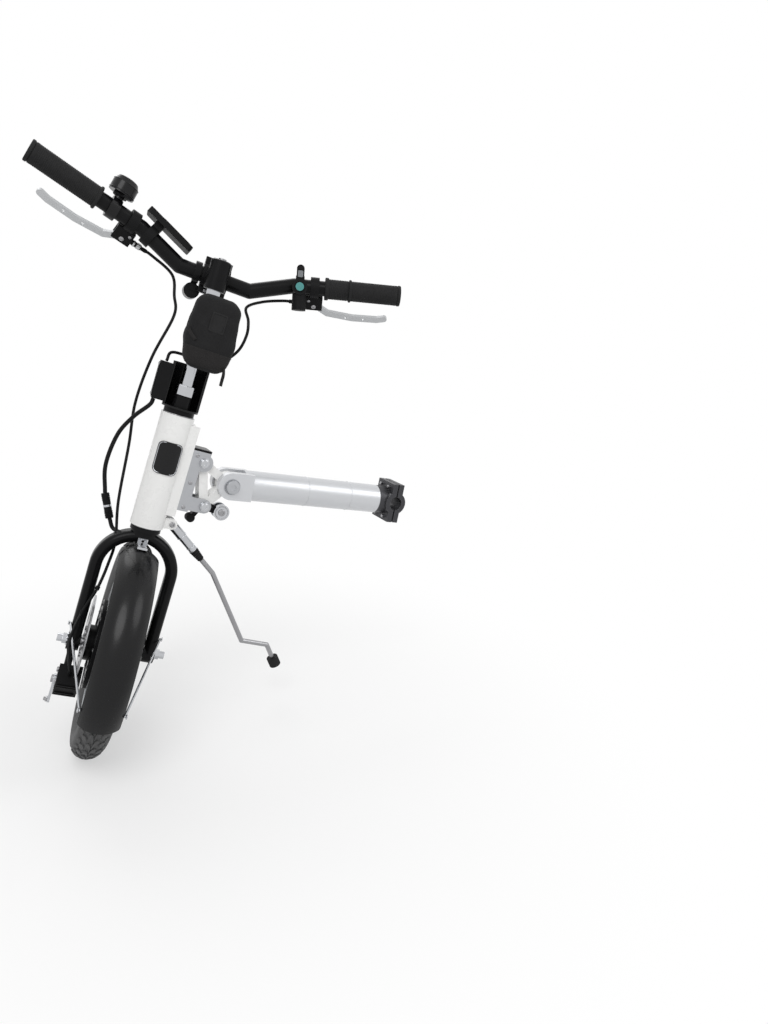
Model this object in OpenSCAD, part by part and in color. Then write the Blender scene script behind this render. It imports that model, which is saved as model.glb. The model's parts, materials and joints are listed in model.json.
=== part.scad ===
// Clip-on front drive wheel for a manual wheelchair.
// Frame: +X forward, +Y rider's left, +Z up, origin in the centre of the rear clamp bore.
// The steered front is drawn turned to the rider's right, as it stands when parked.

/* [Docking arm] */
// Distance from the clamp bore to the clevis pivot
arm_len = 331; // [300:1:380]
// Angle at which the arm climbs towards the front
arm_rise = 10.2; // [4:0.1:16]
// Outer diameter of the arm tube
arm_d = 54; // [48:1:60]
// Wall of the arm tube
arm_wall = 3; // [2:0.5:5]
// Bore of the rear clamp, for a one inch cross tube
clamp_bore = 25.4; // [22:0.1:32]
// Width of the rear clamp along its bore
clamp_w = 60; // [40:1:80]
// Wall of the rear clamp round its bore
clamp_wall = 9; // [6:0.5:14]
// Gap between the two halves of the rear clamp
clamp_gap = 3; // [1:0.5:5]
// Diameter of the rear clamp bolts
clamp_bolt_d = 6; // [5:0.5:8]
// Radius of the rounded clevis ears
clevis_r = 24; // [20:0.5:26]
// Thickness of each clevis ear
ear_t = 14; // [10:0.5:16]
// Width of the gap between the clevis ears
ear_gap = 26; // [20:0.5:30]
// Diameter of the clevis bolt
pivot_d = 12; // [10:0.5:14]

/* [Coupler] */
// Distance of the clevis pivot behind the steering axis
pivot_back = 116; // [110:1:130]
// Height of the clevis pivot along the steering axis
pivot_s = 511; // [490:1:530]
// Distance of the upper coupler pin behind the steering axis
pin_up_back = 60; // [56:0.5:64]
// Height of the upper coupler pin along the steering axis
pin_up_s = 538; // [530:1:545]
// Distance of the lower coupler pin behind the steering axis
pin_lo_back = 81; // [76:0.5:84]
// Height of the lower coupler pin along the steering axis
pin_lo_s = 465; // [458:1:472]
// Diameter of the coupler pins
pin_d = 10; // [8:0.5:12]
// Thickness of each coupler plate
plate_t = 6; // [4:0.5:8]
// Radius of the plate round the upper pin
lobe_up_r = 15; // [12:0.5:17]
// Radius of the plate round the lower pin
lobe_lo_r = 12; // [10:0.5:14]
// Height of the plates' upper edge along the steering axis
plate_top_s = 556; // [554:1:566]
// Height of the plates' lower edge along the steering axis
plate_low_s = 450; // [440:1:452]
// Depth of the plates' web behind the steering axis
web_back = 55; // [50:1:58]
// Radius of the tongue's boss on the clevis bolt
tongue_boss_r = 20; // [18:0.5:22]
// Width of the tongue's bars
tongue_bar_w = 15; // [12:0.5:18]
// Thickness of the dark strip over the plates
bridge_t = 4; // [3:0.5:6]
// Radius of the latch roller
roller_r = 14; // [10:0.5:15]
// Length of the latch arm from the lower pin to the roller
latch_len = 36; // [32:0.5:40]
// Angle of the latch arm below the rearward direction
latch_dip = 26; // [14:1:28]
// Length of the latch arm from the lower pin to the knob
knob_len = 30; // [26:0.5:32]
// Thickness of the latch arm
latch_t = 12; // [8:0.5:16]
// Diameter of the latch knob
knob_d = 12; // [10:0.5:14]

/* [Head tube] */
// Angle at which the steering axis leans back
head_tilt = 17.5; // [12:0.5:22]
// Steering angle as parked, negative to the rider's right
steer_rest = -101; // [-110:1:-90]
// Outer diameter of the head tube
head_d = 55; // [50:1:58]
// Bore of the head tube
head_bore = 46; // [42:1:48]
// Height of the head tube's lower end along the steering axis
head_low_s = 410; // [400:1:416]
// Length of the head tube
head_len = 194; // [180:1:210]
// Height of each headset cup outside the tube
cup_h = 9; // [6:0.5:11]
// Depth of each headset cup inside the tube
cup_in = 14; // [10:1:20]
// Diameter of the headset cups
cup_d = 50; // [48:1:52]
// Depth of the rail behind the tube
rail_depth = 9; // [6:0.5:10]
// Width of the rail
rail_w = 38; // [36:1:42]
// Width of the groove between the two ribs of the rail
rail_groove = 26; // [20:0.5:28]
// Distance of the rail's upper end below the tube's upper end
rail_end = 10; // [6:1:14]
// Distance of the rail's lower end above the tube's lower end
rail_foot = 28; // [26:1:34]
// Height of the plain badge plate
badge_h = 54; // [40:1:60]
// Width of the plain badge plate
badge_w = 40; // [28:1:42]
// Thickness of the plain badge plate
badge_t = 1.5; // [1:0.5:3]
// Angle of the badge round the tube, from the front
badge_at = 82; // [60:1:95]
// Height of the badge's centre along the steering axis
badge_s = 532; // [500:1:540]

/* [Stand] */
// Diameter of the stand rod
rod_d = 9; // [8:0.5:12]
// Diameter of the stand socket
socket_d = 15; // [13:0.5:18]
// Diameter of the stand's hinge pin
stand_pin_d = 6; // [5:0.5:8]
// Distance of the stand's hinge behind the steering axis
stand_back = 38; // [36:0.5:42]
// Height of the stand's hinge along the steering axis
stand_s = 422; // [418:0.5:428]
// Length of the socket with its sleeve
socket_len = 66; // [50:1:70]
// Length of the ribbed boot
boot_len = 24; // [18:1:36]
// Diameter of the ribbed boot over its ribs
boot_d = 16; // [14:0.5:18]
// Depth of the boot's grooves
boot_groove = 1.5; // [1:0.25:2]
// Number of grooves in the boot
boot_grooves = 5; // [3:1:8]
// Backward lean of the socket from straight down
socket_lean = 35; // [30:1:40]
// Length of the rod's first stretch, below the boot
rod_knee_len = 35; // [20:1:50]
// Length of the rod's second stretch
rod_leg_len = 160; // [140:1:180]
// Backward lean of the rod's second stretch
rod_leg_lean = 21; // [18:1:28]
// Sideways lean of the rod's second stretch
rod_leg_side = 5; // [0:1:10]
// Length of the rod's level stretch
rod_crank_len = 54; // [40:1:70]
// Dip of the rod's level stretch below the horizontal
rod_crank_dip = 20; // [10:1:30]
// Length of the rod's last stretch, down to the foot
rod_drop_len = 40; // [25:1:50]
// Diameter of the rubber foot
foot_d = 22; // [16:1:28]
// Height of the rubber foot
foot_h = 18; // [12:1:24]

/* [Fork] */
// Centre radius of the fork's arch, half the leg spacing
fork_half = 62; // [60:0.5:68]
// Thickness of the fork legs across the wheel
leg_t = 20; // [18:0.5:22]
// Depth of the fork legs along the wheel
leg_depth = 34; // [30:1:40]
// Diameter of the steerer
steerer_d = 28.6; // [25.4:0.1:31.8]
// Height of the steerer above the upper headset cup
steerer_up = 32; // [28:1:36]
// Radius of the drop-out round the axle
dropout_r = 17; // [15:0.5:20]

/* [Wheel] */
// Gap between the tyre and the fork's arch
crown_gap = 5.5; // [4:0.5:9]
// Outer radius of the tyre
tyre_r = 187; // [182:0.5:188]
// Width of the tyre
tyre_w = 54; // [48:0.5:58]
// Wall of the tyre
tyre_wall = 4.5; // [3:0.5:6]
// Height of the tyre above the rim's bed
tyre_h = 48; // [46:0.5:50]
// Width of the rim's bed
rim_w = 36; // [32:1:40]
// Thickness of the rim's bed
rim_t = 6; // [4:0.5:8]
// Height of the rim's flanges
flange_h = 9; // [7:0.5:11]
// Thickness of the rim's web
web_t = 12; // [8:1:16]
// Number of openings in the rim's web
web_holes = 6; // [5:1:8]
// Outer radius of the motor drum
drum_r = 76; // [72:0.5:78]
// Wall of the motor drum
drum_wall = 6; // [5:0.5:8]
// Half width of the motor drum
drum_half = 25; // [22:0.5:27]
// Thickness of the motor side covers
cover_t = 6; // [5:0.5:7]
// Outer diameter of the hub bearings
bearing_d = 28; // [26:0.5:32]
// Width of the hub bearings
bearing_w = 8; // [7:0.5:9]
// Diameter of the axle
axle_d = 12; // [10:0.5:14]
// Radius of the stator
stator_r = 66; // [60:0.5:68]
// Length of each axle nut
nut_len = 15; // [12:0.5:18]
// Diameter of the axle nuts' collars
nut_d = 22; // [20:0.5:26]
// Radius of the brake disc
disc_r = 80; // [76:0.5:82]
// Thickness of the brake disc
disc_t = 2; // [1.8:0.1:2.3]
// Distance of the brake disc from the wheel's middle
disc_y = 46; // [45:0.5:47]
// Number of disc bolts
disc_bolts = 6; // [5:1:8]

/* [Mudguard and caliper] */
// Gap between tyre and mudguard
guard_gap = 7; // [5:0.5:9]
// Thickness of the mudguard
guard_t = 2.5; // [2:0.5:3]
// Width of the mudguard
guard_w = 62; // [58:0.5:64]
// Radius of the mudguard's rounded section
guard_crown = 40; // [36:0.5:48]
// Angle from straight up at which the mudguard starts
guard_from = 13; // [12:0.5:16]
// Angle that the mudguard covers
guard_angle = 97; // [80:1:104]
// Diameter of the mudguard stays
stay_d = 4; // [3:0.5:5]
// Distance of the caliper from the axle
caliper_out = 74; // [72:0.5:77]
// Angle of the caliper below the rearward direction
caliper_dip = 41; // [36:1:46]
// Width of the caliper along the axle
caliper_w = 36; // [32:0.5:38]
// Length of the caliper along the disc
caliper_l = 46; // [40:1:50]
// Depth of the caliper across the disc's edge
caliper_h = 34; // [30:1:38]
// Length of the caliper's arm
caliper_arm_l = 44; // [36:1:50]
// Thickness of the caliper's arm
caliper_arm_t = 4; // [3:0.5:6]

/* [Stem and bar] */
// Diameter of the stem column
column_d = 22.2; // [20:0.1:24]
// Forward reach of the stem
stem_reach = 46; // [44:1:60]
// Height of the bar's middle above the head tube
bar_over = 233; // [226:1:246]
// Diameter of the bar
bar_d = 25.4; // [24:0.1:26]
// Half length of the bar's level middle
bar_flat = 60; // [56:1:66]
// Sideways run of the bar's rising stretch
bar_run = 70; // [66:1:76]
// Height of the bar's rise
bar_rise = 35; // [30:1:42]
// Angle of the bar's ends above the horizontal
bar_up = 13.5; // [10:0.5:18]
// Angle at which the bar's ends are swept back
bar_sweep = 12; // [0:1:16]
// Length of each straight end of the bar
bar_end = 182; // [180:1:196]
// Width of the stem's bar clamp
stem_w = 44; // [40:1:50]
// Wall of the stem's bar clamp
stem_wall = 8; // [6:0.5:10]
// Diameter of the stem bolts
stem_bolt_d = 5; // [4:0.5:6]
// Diameter of the locknut
locknut_d = 34; // [33:0.5:38]
// Height of the locknut
locknut_h = 18; // [14:1:22]

/* [Controls] */
// Diameter of the grips
grip_d = 34; // [32:0.5:36]
// Length of the left grip
grip_l_len = 112; // [100:1:118]
// Length of the right grip
grip_r_len = 91; // [84:1:92]
// Length of the twist throttle
throttle_len = 41; // [36:1:42]
// Diameter of the flange at the grips' ends
grip_flange_d = 38; // [36:0.5:42]
// Place of the left lever's clamp along the bar's end
lever_l_t = 16; // [13:0.5:18]
// Place of the right lever's clamp along the bar's end
lever_r_t = 36; // [34:0.5:37]
// Turn of the levers below the forward direction
lever_drop = 48; // [40:1:56]
// Length of the brake levers
lever_len = 128; // [110:1:135]
// Thickness of the brake levers
lever_t = 6; // [5:0.5:7]
// Distance of the lever pivot from the bar's axis
lever_out = 33; // [31:0.5:35]
// Outward bow of the brake levers
lever_bow = 22; // [20:0.5:26]
// Diameter of the bell
bell_d = 40; // [36:1:44]
// Height of the bell
bell_h = 25; // [20:1:30]
// Place of the bell along the bar's end
bell_t = 50; // [47:0.5:52]
// Length of the display along the bar
display_l = 86; // [70:1:90]
// Depth of the display
display_w = 56; // [46:1:60]
// Thickness of the display
display_t = 10; // [9:0.5:14]
// Height of the display's underside above the bar's axis
display_up = 25; // [24:0.5:30]
// Diameter of the round button
horn_d = 14; // [10:0.5:16]

/* [Column fittings] */
// Outer radius of the column shroud
shroud_r = 30; // [29:0.5:33]
// Wall of the column shroud
shroud_wall = 3.5; // [2.5:0.5:5]
// Height of the column shroud
shroud_h = 74; // [60:1:78]
// Width of the controller box beside the shroud
box_w = 19; // [15:0.5:24]
// Depth of the controller box
box_depth = 36; // [26:1:44]
// Height of the controller box
box_h = 62; // [50:1:64]
// Radius of the pouch's rounded edges
pouch_r = 21; // [18:0.5:24]
// Width of the pouch
pouch_w = 86; // [76:1:94]
// Height of the pouch
pouch_h = 122; // [110:1:124]
// Height of the pouch's underside above the head tube
pouch_over = 80; // [78:1:84]
// Diameter of the headlamp
lamp_d = 26; // [20:1:32]
// Length of the headlamp
lamp_len = 40; // [30:1:50]
// Diameter of the motor cable
motor_cable_d = 7; // [5:0.5:8]
// Diameter of the brake cables
brake_cable_d = 5; // [4:0.5:6]

/* [Hidden] */
$fn = 64;

// Overrun of cuts past a face
over = 2;
// Clearance between a piece and the seat it is fixed in
fit = 0.1;
// Clearance of turning pieces across their axis
run_fit = 0.05;
// Clearance between faces that move past each other
slip = 0.5;

// Heights along the steering axis
head_top_s = head_low_s + head_len;
rail_low_s = head_low_s + rail_foot;
rail_len = head_len - rail_foot - rail_end;
hub_s = head_low_s - cup_h - slip - leg_t - crown_gap - tyre_r;
steerer_top_s = head_top_s + cup_h + steerer_up;
column_in = 100;
column_low_s = steerer_top_s - column_in;
bar_s = head_top_s + bar_over;
pouch_s = head_top_s + pouch_over;
shroud_s = head_top_s + cup_h + slip;
box_lift = 6;
box_s = shroud_s + box_lift;

// Shares of one size in another
pin_head_share = 1.6;
bolt_head_share = 1.7;
bell_side_share = 0.7;
bell_top_share = 0.8;
lamp_ring_share = 0.7;
arm_tip_share = 1.4;
nut_hex_share = 0.8;
nut_hex_len_share = 0.55;
nut_end_share = 0.6;
disc_hole_share = 0.8;
web_hole_share = 0.56;
pouch_shares = [[0.7, 0], [-0.75, 0], [1, 0.35], [-1, 0.35], [0.8, 1], [-0.75, 1]];
cord_axis_shares = [1, 0.2, 0.1];

// Arm details
spigot_len = 30;
clevis_body = 16;
arm_gap = 12;
arm_start = clamp_bore / 2 + clamp_wall + arm_gap;
clevis_neck = clevis_r + clevis_body;
clamp_ear = 16;
clamp_plate = 12;
bolt_head_h = 5;
pivot_head_d = clevis_r;
pivot_head_h = 6;
clamp_r = clamp_bore / 2 + clamp_wall;
clamp_bolt_x = clamp_r + clamp_ear / 2;
clamp_bolt_y = clamp_w / 4;

// Coupler details, in the plane of the head: distance along +X and height along the steering axis
pivot_at = [-pivot_back, pivot_s];
pin_up_at = [-pin_up_back, pin_up_s];
pin_lo_at = [-pin_lo_back, pin_lo_s];
tongue_t = ear_gap - slip * 2;
plate_in = tongue_t / 2 + slip;
pin_head_h = 4;
latch_dir = latch_dip - head_tilt;
roller_at = pin_lo_at + latch_len * [-cos(latch_dir), -sin(latch_dir)];
knob_at = pin_lo_at + knob_len * [sin(latch_dip), -cos(latch_dip)];
latch_step = 2;
latch_boss_r = lobe_lo_r - latch_step;
roller_t = 6;
latch_bar_w = 14;
knob_bar_w = 8;

// Head details
head_r = head_d / 2;
rail_back = head_r + rail_depth + fit;
badge_round = 9;

// Stand details: points from the hinge, in world directions
function lean(a, l) = [-sin(a) * l, 0, -cos(a) * l];
stand_p1 = lean(socket_lean, socket_len);
stand_p2 = stand_p1 + lean(socket_lean, boot_len);
stand_p3 = stand_p2 + lean(socket_lean, rod_knee_len);
stand_p4 = stand_p3 + lean(rod_leg_lean, rod_leg_len) + [0, -sin(rod_leg_side) * rod_leg_len, 0];
stand_p5 = stand_p4 + [-cos(rod_crank_dip), 0, -sin(rod_crank_dip)] * rod_crank_len;
stand_p6 = stand_p5 + lean(rod_leg_lean, rod_drop_len);
lug_t = 5;
lug_gap = socket_d + slip * 2;
lug_r = 9;

// Fork and hub details
leg_in = fork_half - leg_t / 2;
leg_out = fork_half + leg_t / 2;
leg_round = leg_t / 2;
arch_s = head_low_s - cup_h - slip - leg_out;
crown_s = arch_s + fork_half;
crown_boss_d = 44;
cover_y = drum_half + cover_t;
boss_lip = 1;
boss_y = cover_y + bearing_w + boss_lip;
boss_wall = 5;
disc_boss_r = 30;
disc_bolt_r = 23;
disc_bolt_d = 5;
disc_bolt_h = 2.5;
tyre_mid = tyre_r - tyre_w / 2;
bed_r = tyre_r - tyre_h;
web_hole_d = (bed_r - rim_t - drum_r) * web_hole_share;
washer_t = 2;
shoulder_d = 18;

// Mudguard and caliper details
guard_r = tyre_r + guard_gap;
guard_end = guard_from + guard_angle;
guard_mid = guard_r + guard_t - guard_crown;
guard_edge_r = guard_mid + sqrt(pow(guard_crown, 2) - pow(guard_w / 2, 2));
stay_up = 14;
stay_to = 8;
caliper_slot = 5;
caliper_off = 10;
caliper_y = disc_y + caliper_off;
caliper_bolt_d = 8;
post_d = 12;
tab_w = 16;
tab_t = 4;
tab_hole_d = 4.5;

// Bar details: the frame of the bar's end has +Z outward, +X forward and -Y upward
rise_angle = atan2(bar_rise, bar_run);
rise_len = norm([bar_run, bar_rise]);
bar_r = bar_d / 2;
bend_swell = 0.1;
ring_wall = 5;
ring_w = 15;
stem_sleeve_d = 34;
stem_sleeve_h = 46;
stem_ear = 9;
stem_ear_t = 7;
stem_split = 2;
lever_pin_d = 5;
lever_body_w = 17;
lever_body_l = 30;
lever_slot = lever_t + slip * 2;
adjuster_d = 9;
adjuster_l = 18;
blade_w = 11;
blade_hole_d = 5;
blade_along_shares = [0, 0.2, 0.55, 0.9, 1];
blade_bow_shares = [0, 0.75, 1, 0.95, 0.8];
blade_hole_shares = [0.45, 0.7];
grip_cap = 4;
throttle_t0 = bar_end + grip_cap - grip_r_len - slip - throttle_len;
bell_post = 14;
bell_lever_l = 20;
bell_lever_turn = 200;
bell_lever_w = 9;
bell_lever_t = 4;
bell_lift = 3;
bell_up = bar_r + ring_wall + bell_lift;
display_fwd = 8;
display_mid = 46;
display_ring_t = 62;
display_post = 18;
display_button_d = 11;
display_button_up = 2;
switch_t = 10;
switch_r = 13;
switch_back = 14;
switch_depth = 14;
switch_low = 40;
switch_low_d = 24;
switch_high = 26;
horn_up = 3;
horn_down = 4;

// Column details
shroud_cut = 6;
shroud_base = 3;
box_front = 24;
pouch_mid_y = -13;
pouch_gap = 0.3;
pouch_x = -column_d / 2 - pouch_r - pouch_gap;
lamp_y = 30;
lamp_drop = 30;
connector_d = 13;
connector_len = 20;

// Frames
module in_arm() rotate([0, -arm_rise, 0]) children();
module at_pivot() in_arm() translate([arm_len, 0, 0]) rotate([0, arm_rise, 0]) children();
module in_head() at_pivot() rotate([0, -head_tilt, 0]) translate([pivot_back, 0, -pivot_s]) children();
module in_steer() in_head() rotate([0, 0, steer_rest]) children();
module at_axle() in_steer() translate([0, 0, hub_s]) children();
// Outline plane of the coupler: drawn with X along the head frame's X and Y along the steering axis
module plate(t, y) translate([0, y + t / 2, 0]) rotate([90, 0, 0]) linear_extrude(t) children();
// Wheel plane: profile turned about the axle, drawn as radius and distance to the right of the wheel
module about_axle() at_axle() rotate([90, 0, 0]) children();
module at_bar(side) in_steer() mirror([0, side < 0 ? 1 : 0, 0])
    translate([stem_reach, bar_flat + bar_run, bar_s + bar_rise])
    rotate([0, 0, bar_sweep]) rotate([bar_up - 90, 0, 0]) children();
module at_rise() in_steer() translate([stem_reach, bar_flat, bar_s]) rotate([rise_angle - 90, 0, 0]) children();
module at_lever(side) at_bar(side) translate([0, 0, side > 0 ? lever_l_t : lever_r_t])
    rotate([0, 0, lever_drop]) children();
module at_caliper() at_axle() rotate([0, -caliper_dip, 0]) translate([-caliper_out, 0, 0]) children();
module at_stand() in_head() translate([-stand_back, 0, stand_s]) rotate([0, head_tilt, 0]) children();

// Shared shapes
module strut(a, b, d) {
    v = b - a;
    translate(a) rotate([0, acos(v.z / norm(v)), atan2(v.y, v.x)]) cylinder(d = d, h = norm(v));
}
module bent_rod(points, d) {
    for (i = [0 : len(points) - 2]) {
        v = points[i + 1] - points[i];
        translate(points[i]) rotate([0, acos(v.z / norm(v)), atan2(v.y, v.x)]) {
            cylinder(d = d, h = norm(v));
            if (i > 0) sphere(d = d + bend_swell);
        }
    }
}
module ring(od, id, h) {
    difference() {
        cylinder(d = od, h = h);
        translate([0, 0, -over]) cylinder(d = id, h = h + over * 2);
    }
}
module cross_pin(d, l) rotate([90, 0, 0]) cylinder(d = d, h = l, center = true);
module bar2d(a, b, w) {
    v = b - a;
    translate(a) rotate(atan2(v.y, v.x)) translate([0, -w / 2]) square([norm(v), w]);
}
module round_rect(w, h, r) {
    square([w - r * 2, h], center = true);
    square([w, h - r * 2], center = true);
    for (x = [-1, 1], y = [-1, 1]) translate([x * (w / 2 - r), y * (h / 2 - r)]) circle(r);
}

// Cords: one tube swept along points that are eased into a curve
function ease(p, t) = let (n = len(p) - 1, i = min(floor(t), n - 1), f = t - i,
    a = p[max(i - 1, 0)], b = p[i], c = p[i + 1], d = p[min(i + 2, n)])
    (b * 2 + (c - a) * f + (a * 2 - b * 5 + c * 4 - d) * pow(f, 2)
        + (b * 3 - a - c * 3 + d) * pow(f, 3)) / 2;
function unit(v) = v / norm(v);
module cord(points, d, steps = 2, sides = 8) {
    count = (len(points) - 1) * steps;
    line = [for (i = [0 : count]) ease(points, i / steps)];
    dirs = [for (i = [0 : count]) unit(line[min(i + 1, count)] - line[max(i - 1, 0)])];
    across = [for (v = dirs) unit(cross(v, cord_axis_shares))];
    rings = [for (i = [0 : count], k = [0 : sides - 1])
        let (a = k * 360 / sides)
        line[i] + d / 2 * (cos(a) * across[i] + sin(a) * cross(dirs[i], across[i]))];
    sidefaces = [for (i = [0 : count - 1], k = [0 : sides - 1])
        let (a = i * sides + k, b = i * sides + (k + 1) % sides)
        each [[a, a + sides, b], [b, a + sides, b + sides]]];
    low = [for (k = [1 : sides - 2]) [0, k, k + 1]];
    top = [for (k = [1 : sides - 2]) [count * sides, count * sides + k + 1, count * sides + k]];
    polyhedron(rings, concat(sidefaces, low, top));
}

// Docking arm
module arm_tube() {
    color("silver") in_arm() translate([arm_start, 0, 0]) rotate([0, 90, 0])
        ring(arm_d, arm_d - arm_wall * 2, arm_len - clevis_neck - arm_start);
}
module arm_clevis() {
    x0 = arm_len - clevis_neck;
    color("silver") in_arm() difference() {
        union() {
            translate([x0 - spigot_len, 0, 0]) rotate([0, 90, 0])
                cylinder(d = arm_d - arm_wall * 2 - fit * 2, h = spigot_len + over);
            translate([x0, 0, 0]) rotate([0, 90, 0]) cylinder(d = arm_d, h = clevis_body - over);
            for (side = [-1, 1]) translate([0, side * (ear_gap + ear_t) / 2, 0]) {
                translate([arm_len, 0, 0]) cross_pin(clevis_r * 2, ear_t);
                translate([x0 + over, -ear_t / 2, -clevis_r])
                    cube([clevis_neck - over, ear_t, clevis_r * 2]);
            }
        }
        translate([x0 + clevis_body - over, -ear_gap / 2, -arm_d / 2])
            cube([clevis_neck, ear_gap, arm_d]);
        translate([arm_len, 0, 0]) cross_pin(pivot_d + fit * 2, arm_d + over * 2);
    }
}
module clevis_bolt() {
    l = ear_gap + ear_t * 2;
    color("gainsboro") at_pivot() {
        cross_pin(pivot_d, l + over);
        for (side = [-1, 1]) translate([0, side * (l + pivot_head_h) / 2, 0])
            cross_pin(pivot_head_d, pivot_head_h);
    }
}
module clamp_half(front) {
    difference() {
        union() {
            cross_pin(clamp_r * 2, clamp_w);
            for (up = [-1, 1]) mirror([0, 0, up < 0 ? 1 : 0])
                translate([-clamp_plate, -clamp_w / 2, clamp_bore / 2])
                    cube([clamp_plate * 2, clamp_w, clamp_wall + clamp_ear]);
        }
        cross_pin(clamp_bore + fit * 2, clamp_w + over * 2);
        for (up = [-1, 1], y = [-1, 1]) translate([0, y * clamp_bolt_y, up * clamp_bolt_x]) rotate([0, 90, 0])
            cylinder(d = clamp_bolt_d + fit * 2, h = clamp_r * 4, center = true);
        translate([front ? -clamp_r * 2 + clamp_gap / 2 : -clamp_gap / 2, -clamp_w, -clamp_r * 2])
            cube([clamp_r * 2, clamp_w * 2, clamp_r * 4]);
    }
}
module frame_clamp() {
    neck_d = arm_d - arm_wall * 2 - fit * 2;
    color("dimgray") in_arm() {
        clamp_half(true);
        difference() {
            union() {
                translate([clamp_plate / 2, 0, 0]) rotate([0, 90, 0])
                    cylinder(d = neck_d, h = arm_start + spigot_len - clamp_plate / 2);
                translate([clamp_plate / 2, 0, 0]) rotate([0, 90, 0])
                    cylinder(d = arm_d, h = arm_start - clamp_plate / 2);
            }
            cross_pin(clamp_r * 2 - over, clamp_w * 2);
            for (up = [-1, 1], y = [-1, 1]) translate([clamp_plate, y * clamp_bolt_y, up * clamp_bolt_x])
                rotate([0, 90, 0]) cylinder(d = clamp_bolt_d * 2 + over, h = arm_start);
        }
    }
}
module frame_clamp_cap() color("dimgray") in_arm() clamp_half(false);
module clamp_bolts() {
    l = clamp_plate * 2;
    color("gainsboro") in_arm() for (up = [-1, 1], y = [-1, 1])
        translate([-clamp_plate, y * clamp_bolt_y, up * clamp_bolt_x]) rotate([0, 90, 0]) {
            cylinder(d = clamp_bolt_d, h = l + bolt_head_h);
            translate([0, 0, -bolt_head_h]) cylinder(d = clamp_bolt_d * 2, h = bolt_head_h);
        }
}

// Coupler
module tongue2d() {
    difference() {
        union() {
            translate(pivot_at) circle(tongue_boss_r);
            translate(pin_up_at) circle(lobe_up_r);
            translate(pin_lo_at) circle(lobe_lo_r);
            bar2d(pivot_at, pin_up_at, tongue_bar_w);
            bar2d(pivot_at, pin_lo_at, tongue_bar_w);
            bar2d(pin_up_at, pin_lo_at, tongue_bar_w);
        }
        translate(pivot_at) circle(d = pivot_d + fit * 2);
        for (p = [pin_up_at, pin_lo_at]) translate(p) circle(d = pin_d + fit * 2);
        translate(pin_lo_at) rotate(180 + latch_dir) translate([0, -latch_bar_w / 2 - over])
            square([latch_len, latch_bar_w + over * 2]);
        translate(pin_lo_at) circle(latch_boss_r + over);
    }
}
module dock_tongue() color("white") in_head() plate(tongue_t, 0) tongue2d();
module plate2d() {
    difference() {
        union() {
            translate([-web_back, plate_low_s]) square([web_back - rail_back, plate_top_s - plate_low_s]);
            translate([-pin_up_back - lobe_up_r / 2, pin_up_s])
                square([pin_up_back + lobe_up_r / 2 - rail_back, plate_top_s - pin_up_s]);
            translate(pin_up_at) circle(lobe_up_r);
            translate(pin_lo_at) circle(lobe_lo_r);
            bar2d([-rail_back, pin_up_s], pin_up_at, lobe_up_r * 2);
            bar2d([-rail_back, pin_lo_s], pin_lo_at, lobe_lo_r * 2);
        }
        for (p = [pin_up_at, pin_lo_at]) translate(p) circle(d = pin_d + fit * 2);
    }
}
module coupler_plates() {
    color("lightgray") in_head()
        for (side = [-1, 1]) plate(plate_t, side * (plate_in + plate_t / 2)) plate2d();
}
module coupler_bridge() {
    color("black") in_head() translate([-pin_up_back - lobe_up_r / 2, -plate_in - plate_t, plate_top_s])
        cube([pin_up_back + lobe_up_r / 2 - rail_back, (plate_in + plate_t) * 2, bridge_t]);
}
module coupler_pins() {
    l = (plate_in + plate_t) * 2;
    color("gainsboro") in_head() for (p = [pin_up_at, pin_lo_at]) translate([p.x, 0, p.y]) {
        cross_pin(pin_d, l + over);
        for (side = [-1, 1]) translate([0, side * (l + pin_head_h) / 2, 0])
            cross_pin(pin_d * pin_head_share, pin_head_h);
    }
}
module latch_cam() {
    color("dimgray") in_head() difference() {
        plate(latch_t, 0) difference() {
            union() {
                translate(pin_lo_at) circle(latch_boss_r);
                bar2d(pin_lo_at, roller_at, latch_bar_w);
                translate(roller_at) circle(latch_bar_w / 2);
                bar2d(pin_lo_at, knob_at, knob_bar_w);
                translate(knob_at) circle(d = knob_d);
            }
            translate(pin_lo_at) circle(d = pin_d + run_fit * 2);
        }
    }
}
module latch_roller() {
    color("gainsboro") in_head() translate([roller_at.x, 0, roller_at.y]) for (side = [-1, 1])
        translate([0, side * (latch_t + roller_t) / 2, 0]) cross_pin(roller_r * 2, roller_t);
}

// Head tube
module head_tube() {
    color("white") in_head() translate([0, 0, head_low_s]) ring(head_d, head_bore, head_len);
}
module head_rail() {
    color("white") in_head() difference() {
        translate([-head_r - rail_depth, -rail_w / 2, rail_low_s])
            cube([head_r + rail_depth, rail_w, rail_len]);
        translate([0, 0, rail_low_s - over]) cylinder(r = head_r + fit, h = rail_len + over * 2);
        translate([-head_r - rail_depth - over, -rail_groove / 2, rail_low_s - over])
            cube([rail_depth / 2 + over, rail_groove, rail_len + over * 2]);
    }
}
module badge_plate() {
    color("black") in_head() intersection() {
        translate([0, 0, badge_s - badge_h]) ring(head_d + fit * 2 + badge_t * 2, head_d + fit * 2, badge_h * 2);
        translate([0, 0, badge_s]) rotate([0, 90, badge_at])
            linear_extrude(head_d) round_rect(badge_h, badge_w, badge_round);
    }
}
module cup(s, up) {
    translate([0, 0, s]) mirror([0, 0, up ? 0 : 1]) difference() {
        union() {
            cylinder(d = cup_d, h = cup_h);
            translate([0, 0, -cup_in]) cylinder(d = head_bore - fit * 2, h = cup_in + over);
        }
        translate([0, 0, -cup_in - over]) cylinder(d = steerer_d + run_fit * 2, h = cup_in + cup_h + over * 2);
    }
}
module headset_cups() {
    color("black") in_head() {
        cup(head_low_s, false);
        cup(head_low_s + head_len, true);
    }
}
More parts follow.
